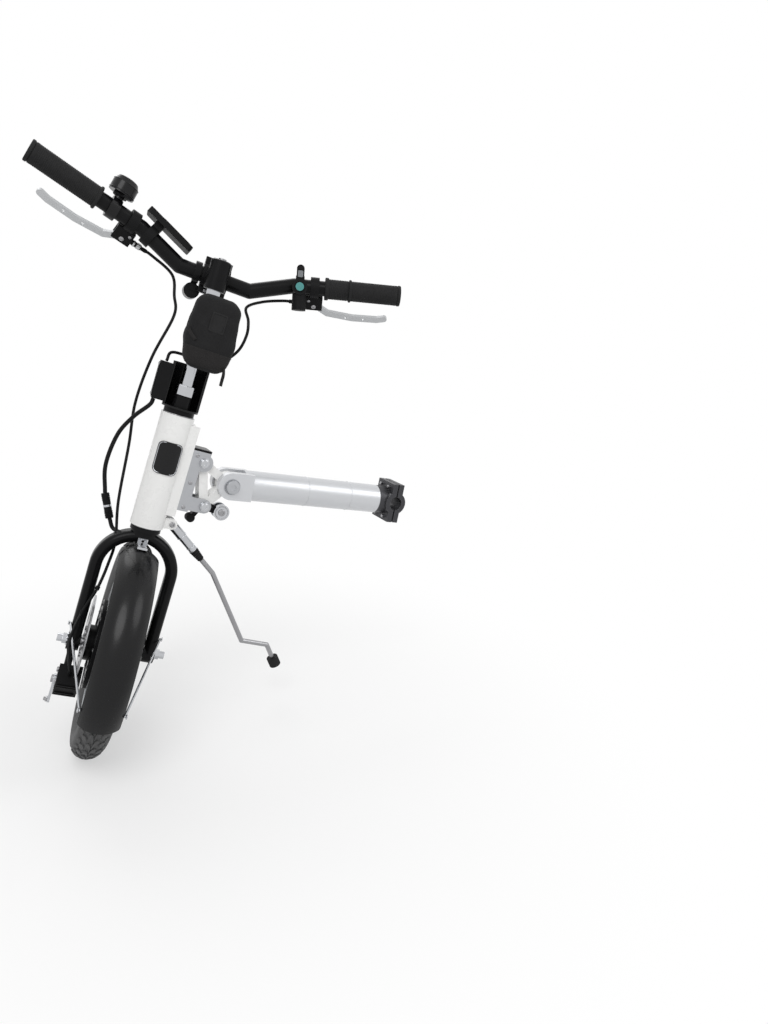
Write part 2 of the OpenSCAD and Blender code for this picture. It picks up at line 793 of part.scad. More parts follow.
module stand_hinge() {
    color("white") in_head() difference() {
        translate([-stand_back, 0, stand_s]) {
            cross_pin(stand_pin_d, lug_gap + lug_t);
            for (side = [-1, 1]) translate([0, side * (lug_gap + lug_t) / 2, 0]) {
                cross_pin(lug_r * 2, lug_t);
                translate([0, -lug_t / 2, -lug_r]) cube([stand_back, lug_t, lug_r * 2]);
            }
        }
        translate([0, 0, head_low_s]) cylinder(r = head_r + fit, h = head_len);
    }
}

// Stand
module stand_socket() {
    color("gainsboro") at_stand() difference() {
        union() {
            cross_pin(socket_d, socket_d);
            strut([0, 0, 0], stand_p1, socket_d);
            strut(lean(socket_lean, lug_r + slip), lean(socket_lean, socket_len / 2), socket_d + over);
        }
        strut(lean(socket_lean, socket_len / 2), stand_p1 * 2, rod_d + fit * 2);
        cross_pin(stand_pin_d + run_fit * 2, socket_d * 2);
    }
}
module stand_boot() {
    pitch = boot_len / boot_grooves;
    color("black") at_stand() translate(stand_p1) rotate([0, 180 + socket_lean, 0]) difference() {
        cylinder(d = boot_d, h = boot_len);
        translate([0, 0, -over]) cylinder(d = rod_d + fit * 2, h = boot_len + over * 2);
        for (i = [0 : boot_grooves - 1]) translate([0, 0, (i * 2 + 1) * pitch / 2])
            ring(boot_d + over, boot_d - boot_groove * 2, pitch / 2);
    }
}
module stand_rod() {
    color("lightgray") at_stand()
        bent_rod([lean(socket_lean, socket_len / 2), stand_p3, stand_p4, stand_p5, stand_p6], rod_d);
}
module stand_foot() {
    color("black") at_stand() translate(stand_p6) rotate([0, 180 + rod_leg_lean, 0]) difference() {
        translate([0, 0, -foot_h / 2]) cylinder(d = foot_d, h = foot_h);
        translate([0, 0, -foot_h]) cylinder(d = rod_d + fit * 2, h = foot_h + fit);
    }
}

// Fork
module leg2d() {
    flat = leg_depth - leg_t;
    square([leg_t, flat], center = true);
    for (side = [-1, 1]) translate([0, side * flat / 2]) circle(leg_round);
}
module fork() {
    color("black") in_steer() difference() {
        union() {
            translate([0, 0, arch_s]) rotate([90, 0, 90]) rotate_extrude(angle = 180)
                translate([fork_half, 0]) leg2d();
            for (side = [-1, 1]) translate([0, side * fork_half, hub_s]) {
                linear_extrude(arch_s - hub_s) rotate(90) leg2d();
                cross_pin(dropout_r * 2, leg_t);
            }
            translate([0, 0, crown_s]) cylinder(d = crown_boss_d, h = head_low_s - cup_h - slip - crown_s);
            translate([0, 0, crown_s]) cylinder(d = steerer_d, h = steerer_top_s - crown_s);
        }
        translate([0, 0, crown_s + leg_t]) cylinder(d = column_d + fit * 2, h = steerer_top_s);
        translate([0, 0, hub_s]) cross_pin(axle_d + fit * 2, leg_out * 2 + over);
    }
}
module locknut() {
    color("gainsboro") in_steer() translate([0, 0, steerer_top_s - locknut_h / 2]) difference() {
        cylinder(d = locknut_d, h = locknut_h);
        translate([0, 0, -over]) cylinder(d = steerer_d + fit * 2, h = locknut_h / 2 + fit + over);
        cylinder(d = column_d + fit * 2, h = locknut_h + over);
    }
}

// Stem and bar
module stem_column() {
    color("gainsboro") in_steer() translate([0, 0, column_low_s])
        cylinder(d = column_d, h = bar_s - column_low_s);
}
module stem_block(front) {
    r = bar_r + stem_wall;
    difference() {
        union() {
            cross_pin(r * 2, stem_w);
            for (up = [-1, 1]) translate([0, 0, up * (r + stem_ear / 2 - over / 2)])
                cube([stem_ear_t * 2, stem_w, stem_ear + over], center = true);
        }
        cross_pin(bar_d + fit * 2, stem_w + over);
        for (up = [-1, 1], y = [-1, 1]) translate([0, y * stem_w / 4, up * (r + stem_ear / 2)]) rotate([0, 90, 0])
            cylinder(d = stem_bolt_d + fit * 2, h = r * 4, center = true);
        translate([front ? -r * 2 + stem_split / 2 : -stem_split / 2, -stem_w, -r * 2])
            cube([r * 2, stem_w * 2, r * 4]);
    }
}
module stem_body() {
    r = bar_r + stem_wall;
    color("black") in_steer() {
        translate([stem_reach, 0, bar_s]) stem_block(false);
        difference() {
            union() {
                translate([0, 0, bar_s - stem_sleeve_h / 2]) cylinder(d = stem_sleeve_d, h = stem_sleeve_h);
                translate([0, -stem_sleeve_d / 2, bar_s - stem_sleeve_h / 4])
                    cube([stem_reach - bar_r, stem_sleeve_d, stem_sleeve_h / 2]);
            }
            translate([0, 0, bar_s - stem_sleeve_h]) cylinder(d = column_d + fit * 2, h = stem_sleeve_h);
            translate([stem_reach, 0, bar_s]) cross_pin(r * 2 - over, stem_w * 2);
        }
    }
}
module stem_faceplate() color("black") in_steer() translate([stem_reach, 0, bar_s]) stem_block(true);
module stem_bolts() {
    r = bar_r + stem_wall + stem_ear / 2;
    color("gainsboro") in_steer() translate([stem_reach, 0, bar_s]) for (up = [-1, 1], y = [-1, 1])
        translate([-stem_ear_t, y * stem_w / 4, up * r]) rotate([0, 90, 0]) {
            cylinder(d = stem_bolt_d, h = stem_ear_t * 2);
            translate([0, 0, stem_ear_t * 2]) cylinder(d = stem_bolt_d * bolt_head_share, h = bolt_head_h);
        }
}
module handlebar() {
    bend = bar_flat + bar_run;
    tip = [-sin(bar_sweep) * cos(bar_up), cos(bar_sweep) * cos(bar_up), sin(bar_up)] * bar_end;
    half = [[0, bar_flat, 0], [0, bend, bar_rise], [0, bend, bar_rise] + tip];
    color("black") in_steer() translate([stem_reach, 0, bar_s]) {
        cross_pin(bar_d, bar_flat * 2);
        for (side = [0, 1]) mirror([0, side, 0]) {
            for (i = [0 : len(half) - 2]) {
                strut(half[i], half[i + 1], bar_d);
                translate(half[i]) sphere(d = bar_d + bend_swell);
            }
        }
    }
}
module grip(from, l) {
    difference() {
        union() {
            translate([0, 0, from]) cylinder(d = grip_d, h = l);
            translate([0, 0, from + l - grip_cap * 2]) cylinder(d = grip_flange_d, h = grip_cap);
            translate([0, 0, from]) cylinder(d = grip_d + over, h = grip_cap);
        }
        translate([0, 0, from - over]) cylinder(d = bar_d + fit * 2, h = bar_end - from + over + fit);
    }
}
module bar_grips() {
    color("black") {
        at_bar(1) grip(bar_end + grip_cap - grip_l_len, grip_l_len);
        at_bar(-1) grip(bar_end + grip_cap - grip_r_len, grip_r_len);
    }
}
module throttle() {
    color("black") at_bar(-1) translate([0, 0, throttle_t0]) difference() {
        union() {
            cylinder(d = grip_d, h = throttle_len);
            cylinder(d = grip_flange_d, h = grip_cap);
        }
        translate([0, 0, -over]) cylinder(d = bar_d + run_fit * 2, h = throttle_len + over * 2);
    }
}
module bar_ring(t, w) translate([0, 0, t - w / 2]) ring(bar_d + ring_wall * 2, bar_d + fit * 2, w);
module lever_body(side) {
    at_lever(side) {
        difference() {
            union() {
                bar_ring(0, ring_w);
                difference() {
                    translate([bar_r + over, -lever_body_w / 2, -lever_body_l / 2])
                        cube([lever_out + blade_w / 2 - bar_r, lever_body_w, lever_body_l]);
                    translate([0, 0, -lever_body_l]) cylinder(d = bar_d + ring_wall, h = lever_body_l * 2);
                }
                translate([lever_out, 0, -lever_body_l / 2 - adjuster_l])
                    cylinder(d = adjuster_d, h = adjuster_l + over);
            }
            translate([lever_out - blade_w, -lever_slot / 2, -blade_w])
                cube([lever_out, lever_slot, lever_body_l * 2]);
        }
        translate([lever_out, 0, 0]) cross_pin(lever_pin_d, lever_body_w);
    }
}
module lever_bodies() color("black") for (side = [-1, 1]) lever_body(side);
module brake_lever(side) {
    pts = [for (i = [0 : len(blade_along_shares) - 1])
        [lever_len * blade_along_shares[i], lever_out + lever_bow * blade_bow_shares[i]]];
    color("silver") at_lever(side) rotate([90, 0, 0]) mirror([1, -1, 0])
        linear_extrude(lever_t, center = true) difference() {
            union() {
                for (i = [0 : len(pts) - 2]) bar2d(pts[i], pts[i + 1], blade_w);
                for (p = pts) translate(p) circle(d = blade_w + bend_swell);
            }
            translate(pts[0]) circle(d = lever_pin_d + run_fit * 2);
            for (h = blade_hole_shares) translate([lever_len * h, lever_out + lever_bow])
                circle(d = blade_hole_d);
        }
}
module brake_lever_left() brake_lever(1);
module brake_lever_right() brake_lever(-1);
module display_case() {
    color("black") at_rise() difference() {
        translate([display_fwd, -display_up - display_t / 2, display_mid]) rotate([90, 0, 0])
            linear_extrude(display_t, center = true) round_rect(display_w, display_l, display_t / 2);
        translate([display_fwd, -display_up - display_t * 2 + display_button_up * 2, display_mid + display_l / 3])
            cross_pin(display_button_d + slip * 2, display_t * 2);
    }
}
module display_button() {
    color("gray") at_rise() translate([display_fwd, -display_up - display_t, display_mid + display_l / 3])
        rotate([90, 0, 0]) translate([0, 0, -display_button_up])
            cylinder(d = display_button_d, h = display_button_up * 2);
}
module display_bracket() {
    color("black") at_rise() difference() {
        union() {
            bar_ring(display_ring_t, ring_w);
            translate([-display_post / 2, -display_up, display_ring_t - ring_w / 2])
                cube([display_post, display_up - bar_r - over, ring_w]);
        }
        cylinder(d = bar_d + fit * 2, h = rise_len * 2);
    }
}
module on_top(t, h) translate([0, -h, t]) rotate([90, 0, 0]) children();
module bell_body() {
    color("black") at_bar(1) {
        bar_ring(bell_t, ring_w);
        difference() {
            on_top(bell_t, bar_r + over) cylinder(d = bell_post, h = bell_up);
            cylinder(d = bar_d + ring_wall, h = bar_end);
        }
        on_top(bell_t, bell_up + bell_lever_t) {
            cylinder(d = bell_d, h = bell_h * bell_side_share);
            translate([0, 0, bell_h * bell_side_share])
                cylinder(d1 = bell_d, d2 = bell_d * bell_top_share, h = bell_h - bell_h * bell_side_share);
        }
    }
}
module bell_lever() {
    reach = (bell_d + bell_lever_l) / 2;
    color("black") at_bar(1) on_top(bell_t, bell_up - slip) linear_extrude(bell_lever_t) difference() {
        union() {
            circle(d = bell_post + bell_lever_t * 2);
            bar2d([0, 0], reach * [cos(bell_lever_turn), sin(bell_lever_turn)], bell_lever_w);
        }
        circle(d = bell_post + run_fit * 2);
    }
}
module switch_housing() {
    color("black") at_bar(-1) {
        difference() {
            union() {
                bar_ring(switch_t, ring_w);
                translate([-switch_back - switch_depth, 0, switch_t]) rotate([0, 90, 0])
                    linear_extrude(switch_depth) {
                    translate([0, horn_down]) circle(switch_r);
                    bar2d([0, horn_down], [0, -switch_high], switch_r);
                    translate([0, -switch_high]) circle(d = switch_r);
                }
                translate([-switch_back, bar_r + over, switch_t]) rotate([-90, 0, 0])
                    cylinder(d = switch_low_d, h = switch_low - bar_r);
            }
            cylinder(d = bar_d + fit * 2, h = bar_end);
            translate([0, 0, -bar_end / 2]) cylinder(d = bar_d + fit * 2, h = bar_end);
            translate([-switch_back - switch_depth - over, horn_down, switch_t]) rotate([0, 90, 0])
                cylinder(d = horn_d + slip * 2, h = horn_up * 2 + over);
        }
    }
}
module horn_button() {
    color("teal") at_bar(-1) translate([-switch_back - switch_depth - horn_up, horn_down, switch_t])
        rotate([0, 90, 0]) cylinder(d = horn_d, h = horn_up * 2);
}

// Column fittings
module column_shroud() {
    color("black") in_steer() translate([0, 0, shroud_s]) {
        difference() {
            ring(shroud_r * 2, (shroud_r - shroud_wall) * 2, shroud_h);
            translate([-shroud_r * 2 - shroud_cut, -shroud_r * 2, shroud_base])
                cube([shroud_r * 2, shroud_r * 4, shroud_h]);
        }
        ring(shroud_r * 2 - over, steerer_d + fit * 2, shroud_base);
    }
}
module controller_box() {
    color("black") in_steer() difference() {
        translate([box_front - box_depth, 0, box_s]) cube([box_depth, shroud_r + box_w, box_h]);
        translate([0, 0, box_s - over]) cylinder(r = shroud_r + fit, h = box_h + over * 2);
        translate([-shroud_r, -shroud_r, box_s - over])
            cube([shroud_r * 2, shroud_r + shroud_r / 2, box_h + over * 2]);
    }
}
module pouch() {
    w = pouch_w / 2 - pouch_r;
    h = pouch_h - pouch_r * 2;
    color("black") in_steer() translate([pouch_x, pouch_mid_y, pouch_s + pouch_r]) hull() {
        for (p = pouch_shares)
            translate([0, p.x * w, p.y * h]) sphere(r = pouch_r, $fn = 24);
    }
}
module headlamp() {
    color("black") in_steer() translate([stem_reach, lamp_y, bar_s]) {
        rotate([90, 0, 0]) bar_ring(0, ring_w * lamp_ring_share);
        translate([bar_r, 0, -lamp_drop]) rotate([0, 90, 0]) cylinder(d = lamp_d, h = lamp_len);
        difference() {
            translate([bar_r - over, -ring_wall, -lamp_drop]) cube([ring_wall, ring_wall * 2, lamp_drop]);
            cross_pin(bar_d + ring_wall, ring_w * 2);
        }
    }
}

// Mudguard and caliper
module mudguard() {
    color("black") about_axle() rotate(90 + guard_from) rotate_extrude(angle = guard_angle) difference() {
        translate([guard_mid, 0]) circle(guard_crown);
        translate([guard_mid, 0]) circle(guard_crown - guard_t);
        translate([guard_mid - guard_crown * 2, -guard_crown * 2]) square([guard_crown * 2, guard_crown * 4]);
        for (y = [-guard_w / 2 - guard_crown, guard_w / 2]) translate([guard_mid - guard_crown, y])
            square([guard_crown * 3, guard_crown]);
    }
}
module mudguard_stays() {
    a = guard_end - stay_to;
    r = guard_edge_r - guard_t;
    top = cos(guard_from) * (guard_r + guard_t);
    tab_h = crown_s - hub_s - top - fit * 2;
    foot_len = sin(guard_from) * (guard_r + guard_t) + tab_t * 2 - leg_depth / 2;
    color("silver") at_axle() {
        for (side = [-1, 1]) {
            from = [-leg_depth / 2 + leg_round, side * (leg_out + stay_d / 2 + slip), dropout_r + stay_up];
            to = [-sin(a) * r, side * (guard_w / 2 + stay_d / 2 + fit * 2), cos(a) * r];
            strut(from, to, stay_d);
            translate(from) sphere(d = stay_d + bend_swell);
            translate(to) sphere(d = stay_d + bend_swell);
        }
        translate([-leg_depth / 2 - fit, -tab_w / 2, top + fit]) {
            difference() {
                translate([-tab_t, 0, 0]) cube([tab_t, tab_w, tab_h]);
                translate([-tab_t - over, tab_w / 2, tab_h / 2 + over / 2]) rotate([0, 90, 0])
                    cylinder(d = tab_hole_d, h = tab_t + over * 2);
            }
            translate([-foot_len, 0, 0]) cube([foot_len, tab_w, tab_t]);
        }
    }
}
module caliper_body() {
    color("black") at_caliper() difference() {
        union() {
            translate([-caliper_h / 2, caliper_y - caliper_w / 2, -caliper_l / 2])
                cube([caliper_h, caliper_w, caliper_l]);
            translate([caliper_h / 2 - over, fork_half, 0]) rotate([0, 90, 0])
                cylinder(d = post_d, h = caliper_out - caliper_h / 2 - dropout_r / 2);
        }
        translate([0, disc_y - caliper_slot / 2, -caliper_l])
            cube([caliper_h, caliper_slot, caliper_l * 2]);
        translate([caliper_out, disc_y - caliper_slot / 2, 0]) rotate([-90, 0, 0])
            cylinder(r = disc_r + over, h = caliper_slot);
        translate([caliper_out, fork_half, 0]) cross_pin((dropout_r + fit) * 2, leg_t * 2);
    }
}
module caliper_arm() {
    y = caliper_y + caliper_w / 2 + slip;
    tip = [-caliper_h / 2, -caliper_arm_l];
    color("gainsboro") at_caliper() translate([0, y + caliper_arm_t, 0])
        rotate([90, 0, 0]) linear_extrude(caliper_arm_t) {
        circle(d = caliper_bolt_d * 2);
        bar2d([0, 0], tip, caliper_bolt_d);
        translate(tip) circle(d = caliper_bolt_d * arm_tip_share);
    }
}

// Wheel
module axle() {
    color("dimgray") at_axle() {
        cross_pin(axle_d, (leg_out + washer_t + nut_len) * 2 - over);
        for (side = [-1, 1]) translate([0, side * (boss_y + leg_in) / 2, 0])
            cross_pin(shoulder_d, leg_in - boss_y - slip * 2);
    }
}
module axle_nuts() {
    color("gainsboro") at_axle() for (side = [-1, 1]) mirror([0, side < 0 ? 1 : 0, 0])
        translate([0, leg_out + fit, 0]) rotate([-90, 0, 0]) difference() {
            union() {
                cylinder(d = nut_d, h = washer_t);
                cylinder(d = nut_d * nut_hex_share, h = nut_len * nut_hex_len_share, $fn = 6);
                cylinder(d = nut_d * nut_end_share, h = nut_len + washer_t);
            }
            translate([0, 0, -over]) cylinder(d = axle_d + fit * 2, h = nut_len + washer_t - over / 2 + over);
        }
}
module stator() {
    color("peru") at_axle() rotate([90, 0, 0]) translate([0, 0, -drum_half + over])
        ring(stator_r * 2, axle_d + fit * 2, (drum_half - over) * 2);
}
module tyre() {
    color("black") about_axle() rotate_extrude() difference() {
        translate([tyre_mid, 0]) circle(tyre_w / 2);
        translate([tyre_mid, 0]) circle(tyre_w / 2 - tyre_wall);
        translate([0, -tyre_w]) square([bed_r + fit, tyre_w * 2]);
        translate([0, -rim_w / 2 - fit]) square([bed_r + flange_h + fit, rim_w + fit * 2]);
    }
}
module rim() {
    color("dimgray") about_axle() difference() {
        rotate_extrude() {
            translate([bed_r - rim_t, -rim_w / 2]) square([rim_t, rim_w]);
            for (side = [-1, 1]) translate([bed_r - rim_t, side * (rim_w - rim_t / 2) / 2 - rim_t / 4])
                square([rim_t + flange_h, rim_t / 2]);
            translate([drum_r - drum_wall, -drum_half]) square([drum_wall, drum_half * 2]);
            translate([drum_r - over, -web_t / 2]) square([bed_r - rim_t - drum_r + over * 2, web_t]);
        }
        for (i = [0 : web_holes - 1]) rotate(i * 360 / web_holes)
            translate([(drum_r + bed_r - rim_t) / 2, 0, -web_t])
            cylinder(d = web_hole_d, h = web_t * 2);
    }
}
module motor_covers() {
    color("dimgray") about_axle() {
        for (side = [0, 1]) mirror([0, 0, side]) rotate_extrude() {
            translate([bearing_d / 2 - over, drum_half]) square([drum_r - bearing_d / 2 + over, cover_t]);
            translate([bearing_d / 2 + fit, drum_half]) square([boss_wall, boss_y - drum_half]);
        }
        translate([0, 0, -disc_y + disc_t / 2]) rotate_extrude()
            translate([bearing_d / 2 + fit, 0])
                square([disc_boss_r - bearing_d / 2, disc_y - disc_t / 2 - cover_y + over]);
    }
}
module hub_bearings() {
    color("gainsboro") about_axle() for (side = [0, 1]) mirror([0, 0, side]) translate([0, 0, cover_y + fit])
        ring(bearing_d, axle_d + run_fit * 2, bearing_w);
}
module brake_disc() {
    color("silver") about_axle() translate([0, 0, -disc_y - disc_t / 2]) difference() {
        ring(disc_r * 2, bearing_d, disc_t);
        for (i = [0 : disc_bolts - 1]) rotate(i * 360 / disc_bolts) {
            translate([disc_bolt_r, 0, -over]) cylinder(d = disc_bolt_d + fit * 2, h = disc_t + over * 2);
            rotate(180 / disc_bolts) translate([(disc_boss_r + disc_r) / 2, 0, -over])
                cylinder(d = disc_boss_r * disc_hole_share, h = disc_t + over * 2);
        }
    }
}
module disc_bolts_set() {
    color("gainsboro") about_axle() for (i = [0 : disc_bolts - 1]) rotate(i * 360 / disc_bolts)
        translate([disc_bolt_r, 0, -disc_y]) {
            translate([0, 0, -disc_t / 2 - disc_bolt_h])
                cylinder(d = disc_bolt_d * bolt_head_share, h = disc_bolt_h);
            translate([0, 0, -disc_t / 2 - over / 2]) cylinder(d = disc_bolt_d, h = disc_t + over / 2);
        }
}

// Cables
function lift(points, s) = [for (p = points) p + [0, 0, s]];
left_bar_run = [[70, 123.5, 7], [74, 104, 2.3], [68, 66, -16], [60, 54, -48], [57, 46, -80]];
left_head_run = [[55, 62, 76], [54, 68, -4]];
left_crown_run = [[48, 60, 118], [38, 52, 20], [24, 40, -44]];
left_hub_run = [[2, 42, 142], [-22, 49, 104], [-23, 62, 58], [-64, 70, 20], [-85, 60, -12], [-71.4, 56, -30.7]];
right_bar_run = [[66, -142.5, 11.7], [70, -123, 7], [62, -88, -8], [38, -62, -28], [12, -68, -50], [6, -71, -74],
    [6, -64, -104]];
right_head_run = [[14, -42, 104], [27, -6, 97], [22, 34, 95], [14, 40, 79.1]];
motor_box_run = [[10, 44, -1.6], [11, 47, -14], [24, 66, -42], [40, 82, -80]];
motor_crown_run = [[50, 87, 73.5], [50, 76, 26.5]];
tail_crown_run = [[46, 58, -14], [43, 47, -30], [30, 22, -31], [25, -20, -34], [24, -52, -64]];
tail_hub_run = [[24, -62, 112], [23, -63, 52], [21, -57, 22], [14, -47.6, 8]];
brake_left_route = concat(lift(left_bar_run, bar_s), lift(left_head_run, head_top_s),
    lift(left_crown_run, head_low_s), lift(left_hub_run, hub_s));
brake_right_route = concat(lift(right_bar_run, bar_s), lift(right_head_run, head_top_s));
motor_route = concat(lift(motor_box_run, box_s), lift(motor_crown_run, head_low_s));
motor_tail_route = concat(lift(tail_crown_run, head_low_s), lift(tail_hub_run, hub_s));
module brake_cables() {
    color("black") in_steer() {
        cord(brake_left_route, brake_cable_d);
        cord(brake_right_route, brake_cable_d);
    }
}
module motor_cable() {
    color("black") in_steer() {
        cord(motor_route, motor_cable_d);
        cord(motor_tail_route, motor_cable_d);
    }
}
module motor_connector() {
    a = motor_route[len(motor_route) - 1];
    b = motor_tail_route[0];
    v = unit(b - a);
    color("black") in_steer() {
        strut(a + v * slip, a + v * connector_len, connector_d);
        strut(b - v * connector_len, b - v * slip, connector_d);
        strut(a + v * connector_len / 2, b - v * connector_len / 2, connector_d - over);
    }
}

arm_tube();
arm_clevis();
clevis_bolt();
frame_clamp();
frame_clamp_cap();
clamp_bolts();
dock_tongue();
coupler_plates();
coupler_bridge();
coupler_pins();
head_tube();
head_rail();
badge_plate();
headset_cups();
latch_cam();
latch_roller();
stand_hinge();
stand_socket();
stand_boot();
stand_rod();
stand_foot();
fork();
locknut();
stem_column();
stem_body();
stem_faceplate();
stem_bolts();
handlebar();
bar_grips();
lever_bodies();
brake_lever_left();
brake_lever_right();
throttle();
display_case();
display_bracket();
display_button();
bell_body();
bell_lever();
switch_housing();
horn_button();
controller_box();
column_shroud();
pouch();
headlamp();
mudguard();
mudguard_stays();
caliper_body();
caliper_arm();
axle();
axle_nuts();
stator();
tyre();
rim();
motor_covers();
hub_bearings();
brake_disc();
disc_bolts_set();
brake_cables();
motor_cable();
motor_connector();
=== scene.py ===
"""Looks of a clamp-on power assist for a wheelchair: finishes, soft pouch, tyre, cords and small trim."""

import json
import logging
import math
from dataclasses import dataclass
from enum import Enum
from typing import Callable, Iterable, Optional, Sequence

import bmesh
import bpy
from mathutils import Matrix, Vector
from mathutils.bvhtree import BVHTree

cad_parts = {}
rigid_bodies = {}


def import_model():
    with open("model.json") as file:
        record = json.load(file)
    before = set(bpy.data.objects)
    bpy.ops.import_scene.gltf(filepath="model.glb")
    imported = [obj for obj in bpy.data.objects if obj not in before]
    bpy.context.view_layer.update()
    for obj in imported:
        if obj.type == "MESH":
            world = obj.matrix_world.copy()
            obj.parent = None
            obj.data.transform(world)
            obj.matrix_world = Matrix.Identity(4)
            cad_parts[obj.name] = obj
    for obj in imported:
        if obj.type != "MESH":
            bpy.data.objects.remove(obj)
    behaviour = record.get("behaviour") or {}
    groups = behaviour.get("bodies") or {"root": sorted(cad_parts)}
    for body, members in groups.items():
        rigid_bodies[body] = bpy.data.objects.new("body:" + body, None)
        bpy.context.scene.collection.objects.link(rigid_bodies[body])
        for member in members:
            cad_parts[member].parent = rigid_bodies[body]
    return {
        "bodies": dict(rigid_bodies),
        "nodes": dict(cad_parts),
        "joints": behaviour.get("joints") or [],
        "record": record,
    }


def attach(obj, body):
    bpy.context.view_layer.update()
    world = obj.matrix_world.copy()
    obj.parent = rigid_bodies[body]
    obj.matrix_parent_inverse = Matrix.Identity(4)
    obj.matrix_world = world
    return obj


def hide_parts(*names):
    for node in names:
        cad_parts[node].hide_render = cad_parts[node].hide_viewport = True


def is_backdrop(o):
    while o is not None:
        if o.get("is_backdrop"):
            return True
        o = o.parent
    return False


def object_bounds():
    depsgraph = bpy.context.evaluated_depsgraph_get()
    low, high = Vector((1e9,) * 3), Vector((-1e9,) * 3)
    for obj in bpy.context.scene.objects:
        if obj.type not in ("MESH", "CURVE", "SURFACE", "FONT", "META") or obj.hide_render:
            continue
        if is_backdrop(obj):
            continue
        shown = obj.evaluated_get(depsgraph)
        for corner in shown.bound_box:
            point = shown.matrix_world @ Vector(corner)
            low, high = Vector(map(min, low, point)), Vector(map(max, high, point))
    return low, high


LOG = logging.getLogger("power_assist")
MM = 0.001
COAT_ROUGH = 0.08
EDGE_SAMPLES = 8
YARN_TURN = 6.28
Point = Sequence[float]
Colour = tuple[float, float, float]


def turn(axis: str, degrees: float) -> Matrix:
    """Rotation about X, Y or Z by an angle in degrees."""
    return Matrix.Rotation(math.radians(degrees), 4, axis)


def move(x: float = 0.0, y: float = 0.0, z: float = 0.0) -> Matrix:
    """Shift by millimetres."""
    return Matrix.Translation((x, y, z))


def aim(start: Point, end: Point) -> Matrix:
    """Frame at start whose Z runs towards end.

    Args:
        start: Origin of the frame, in millimetres.
        end: Point that the frame's Z axis runs towards.

    Returns:
        The frame as a matrix.
    """
    way = Vector(end) - Vector(start)
    return Matrix.Translation(start) @ way.to_track_quat("Z", "Y").to_matrix().to_4x4()


class Side(Enum):
    """Rider's side of a piece that comes in a pair."""

    LEFT = 1
    RIGHT = -1


class Grain(Enum):
    """Fine relief of a finish."""

    PEEL = "sprayed paint"
    BRUSHED = "drawn or turned metal"
    PEBBLE = "moulded plastic"
    WEAVE = "woven cloth"
    RUBBER = "moulded rubber"
    CAST = "cast metal"


@dataclass(frozen=True)
class Frames:
    """Where each sub-assembly sits, from the part's own sizes in millimetres and degrees."""

    arm_len: float = 331.0
    arm_rise: float = 10.2
    pivot_back: float = 116.0
    pivot_s: float = 511.0
    head_tilt: float = 17.5
    steer_rest: float = -101.0
    hub_s: float = 188.0
    stem_reach: float = 46.0
    bar_flat: float = 60.0
    bar_run: float = 70.0
    bar_s: float = 837.0
    bar_rise: float = 35.0
    bar_up: float = 13.5
    bar_sweep: float = 12.0
    head_low: float = 410.0
    head_top: float = 604.0
    box_s: float = 619.5
    lever_drop: float = 48.0
    lever_left: float = 16.0
    lever_right: float = 36.0
    stand_back: float = 38.0
    stand_s: float = 422.0
    socket_lean: float = 35.0
    caliper_out: float = 74.0
    caliper_dip: float = 41.0

    def row(self) -> Matrix:
        """Row frame, from millimetres to metres."""
        return Matrix.Scale(MM, 4)

    def arm(self) -> Matrix:
        """Arm frame: X runs along the tube from the clamp."""
        return self.row() @ turn("Y", -self.arm_rise)

    def head(self) -> Matrix:
        """Head frame: Z is the height along the steering axis, X forward.

        Returns:
            The frame as a matrix.
        """
        pivot = turn("Y", -self.arm_rise) @ Vector((self.arm_len, 0, 0))
        tilt = turn("Y", -self.head_tilt) @ move(self.pivot_back, 0, -self.pivot_s)
        return self.row() @ Matrix.Translation(pivot) @ tilt

    def steer(self) -> Matrix:
        """Steered frame, turned to its parked angle."""
        return self.head() @ turn("Z", self.steer_rest)

    def axle(self) -> Matrix:
        """Wheel frame: Z runs along the axle to the rider's left, X up the steering axis."""
        return self.steer() @ move(0, 0, self.hub_s) @ turn("X", -90) @ turn("Z", -90)

    def bar(self, side: Side) -> Matrix:
        """Bar end frame: Z runs outward along the grip, X forward, -Y up.

        Args:
            side: Which bar end.

        Returns:
            The frame as a matrix, mirrored on the right.
        """
        flip = Matrix.Diagonal((1, side.value, 1, 1))
        bend = move(self.stem_reach, self.bar_flat + self.bar_run, self.bar_s + self.bar_rise)
        return self.steer() @ flip @ bend @ turn("Z", self.bar_sweep) @ turn("X", self.bar_up - 90)

    def rise(self) -> Matrix:
        """Frame of the left rising stretch of the bar, Z outward along it."""
        angle = math.degrees(math.atan2(self.bar_rise, self.bar_run))
        return self.steer() @ move(self.stem_reach, self.bar_flat, self.bar_s) @ turn("X", angle - 90)

    def lever(self, side: Side) -> Matrix:
        """Brake lever frame: X away from the bar, Y along the pivot, Z outward."""
        along = self.lever_left if side is Side.LEFT else self.lever_right
        return self.bar(side) @ move(0, 0, along) @ turn("Z", self.lever_drop)

    def caliper(self) -> Matrix:
        """Caliper frame: X towards the axle, Y across the disc."""
        return self.steer() @ move(0, 0, self.hub_s) @ turn("Y", -self.caliper_dip) @ move(-self.caliper_out)

    def stand(self) -> Matrix:
        """Stand frame: origin at its hinge, Z down along the socket."""
        hinge = self.head() @ move(-self.stand_back, 0, self.stand_s) @ turn("Y", self.head_tilt)
        return hinge @ turn("Y", 180 + self.socket_lean)


FRAMES = Frames()


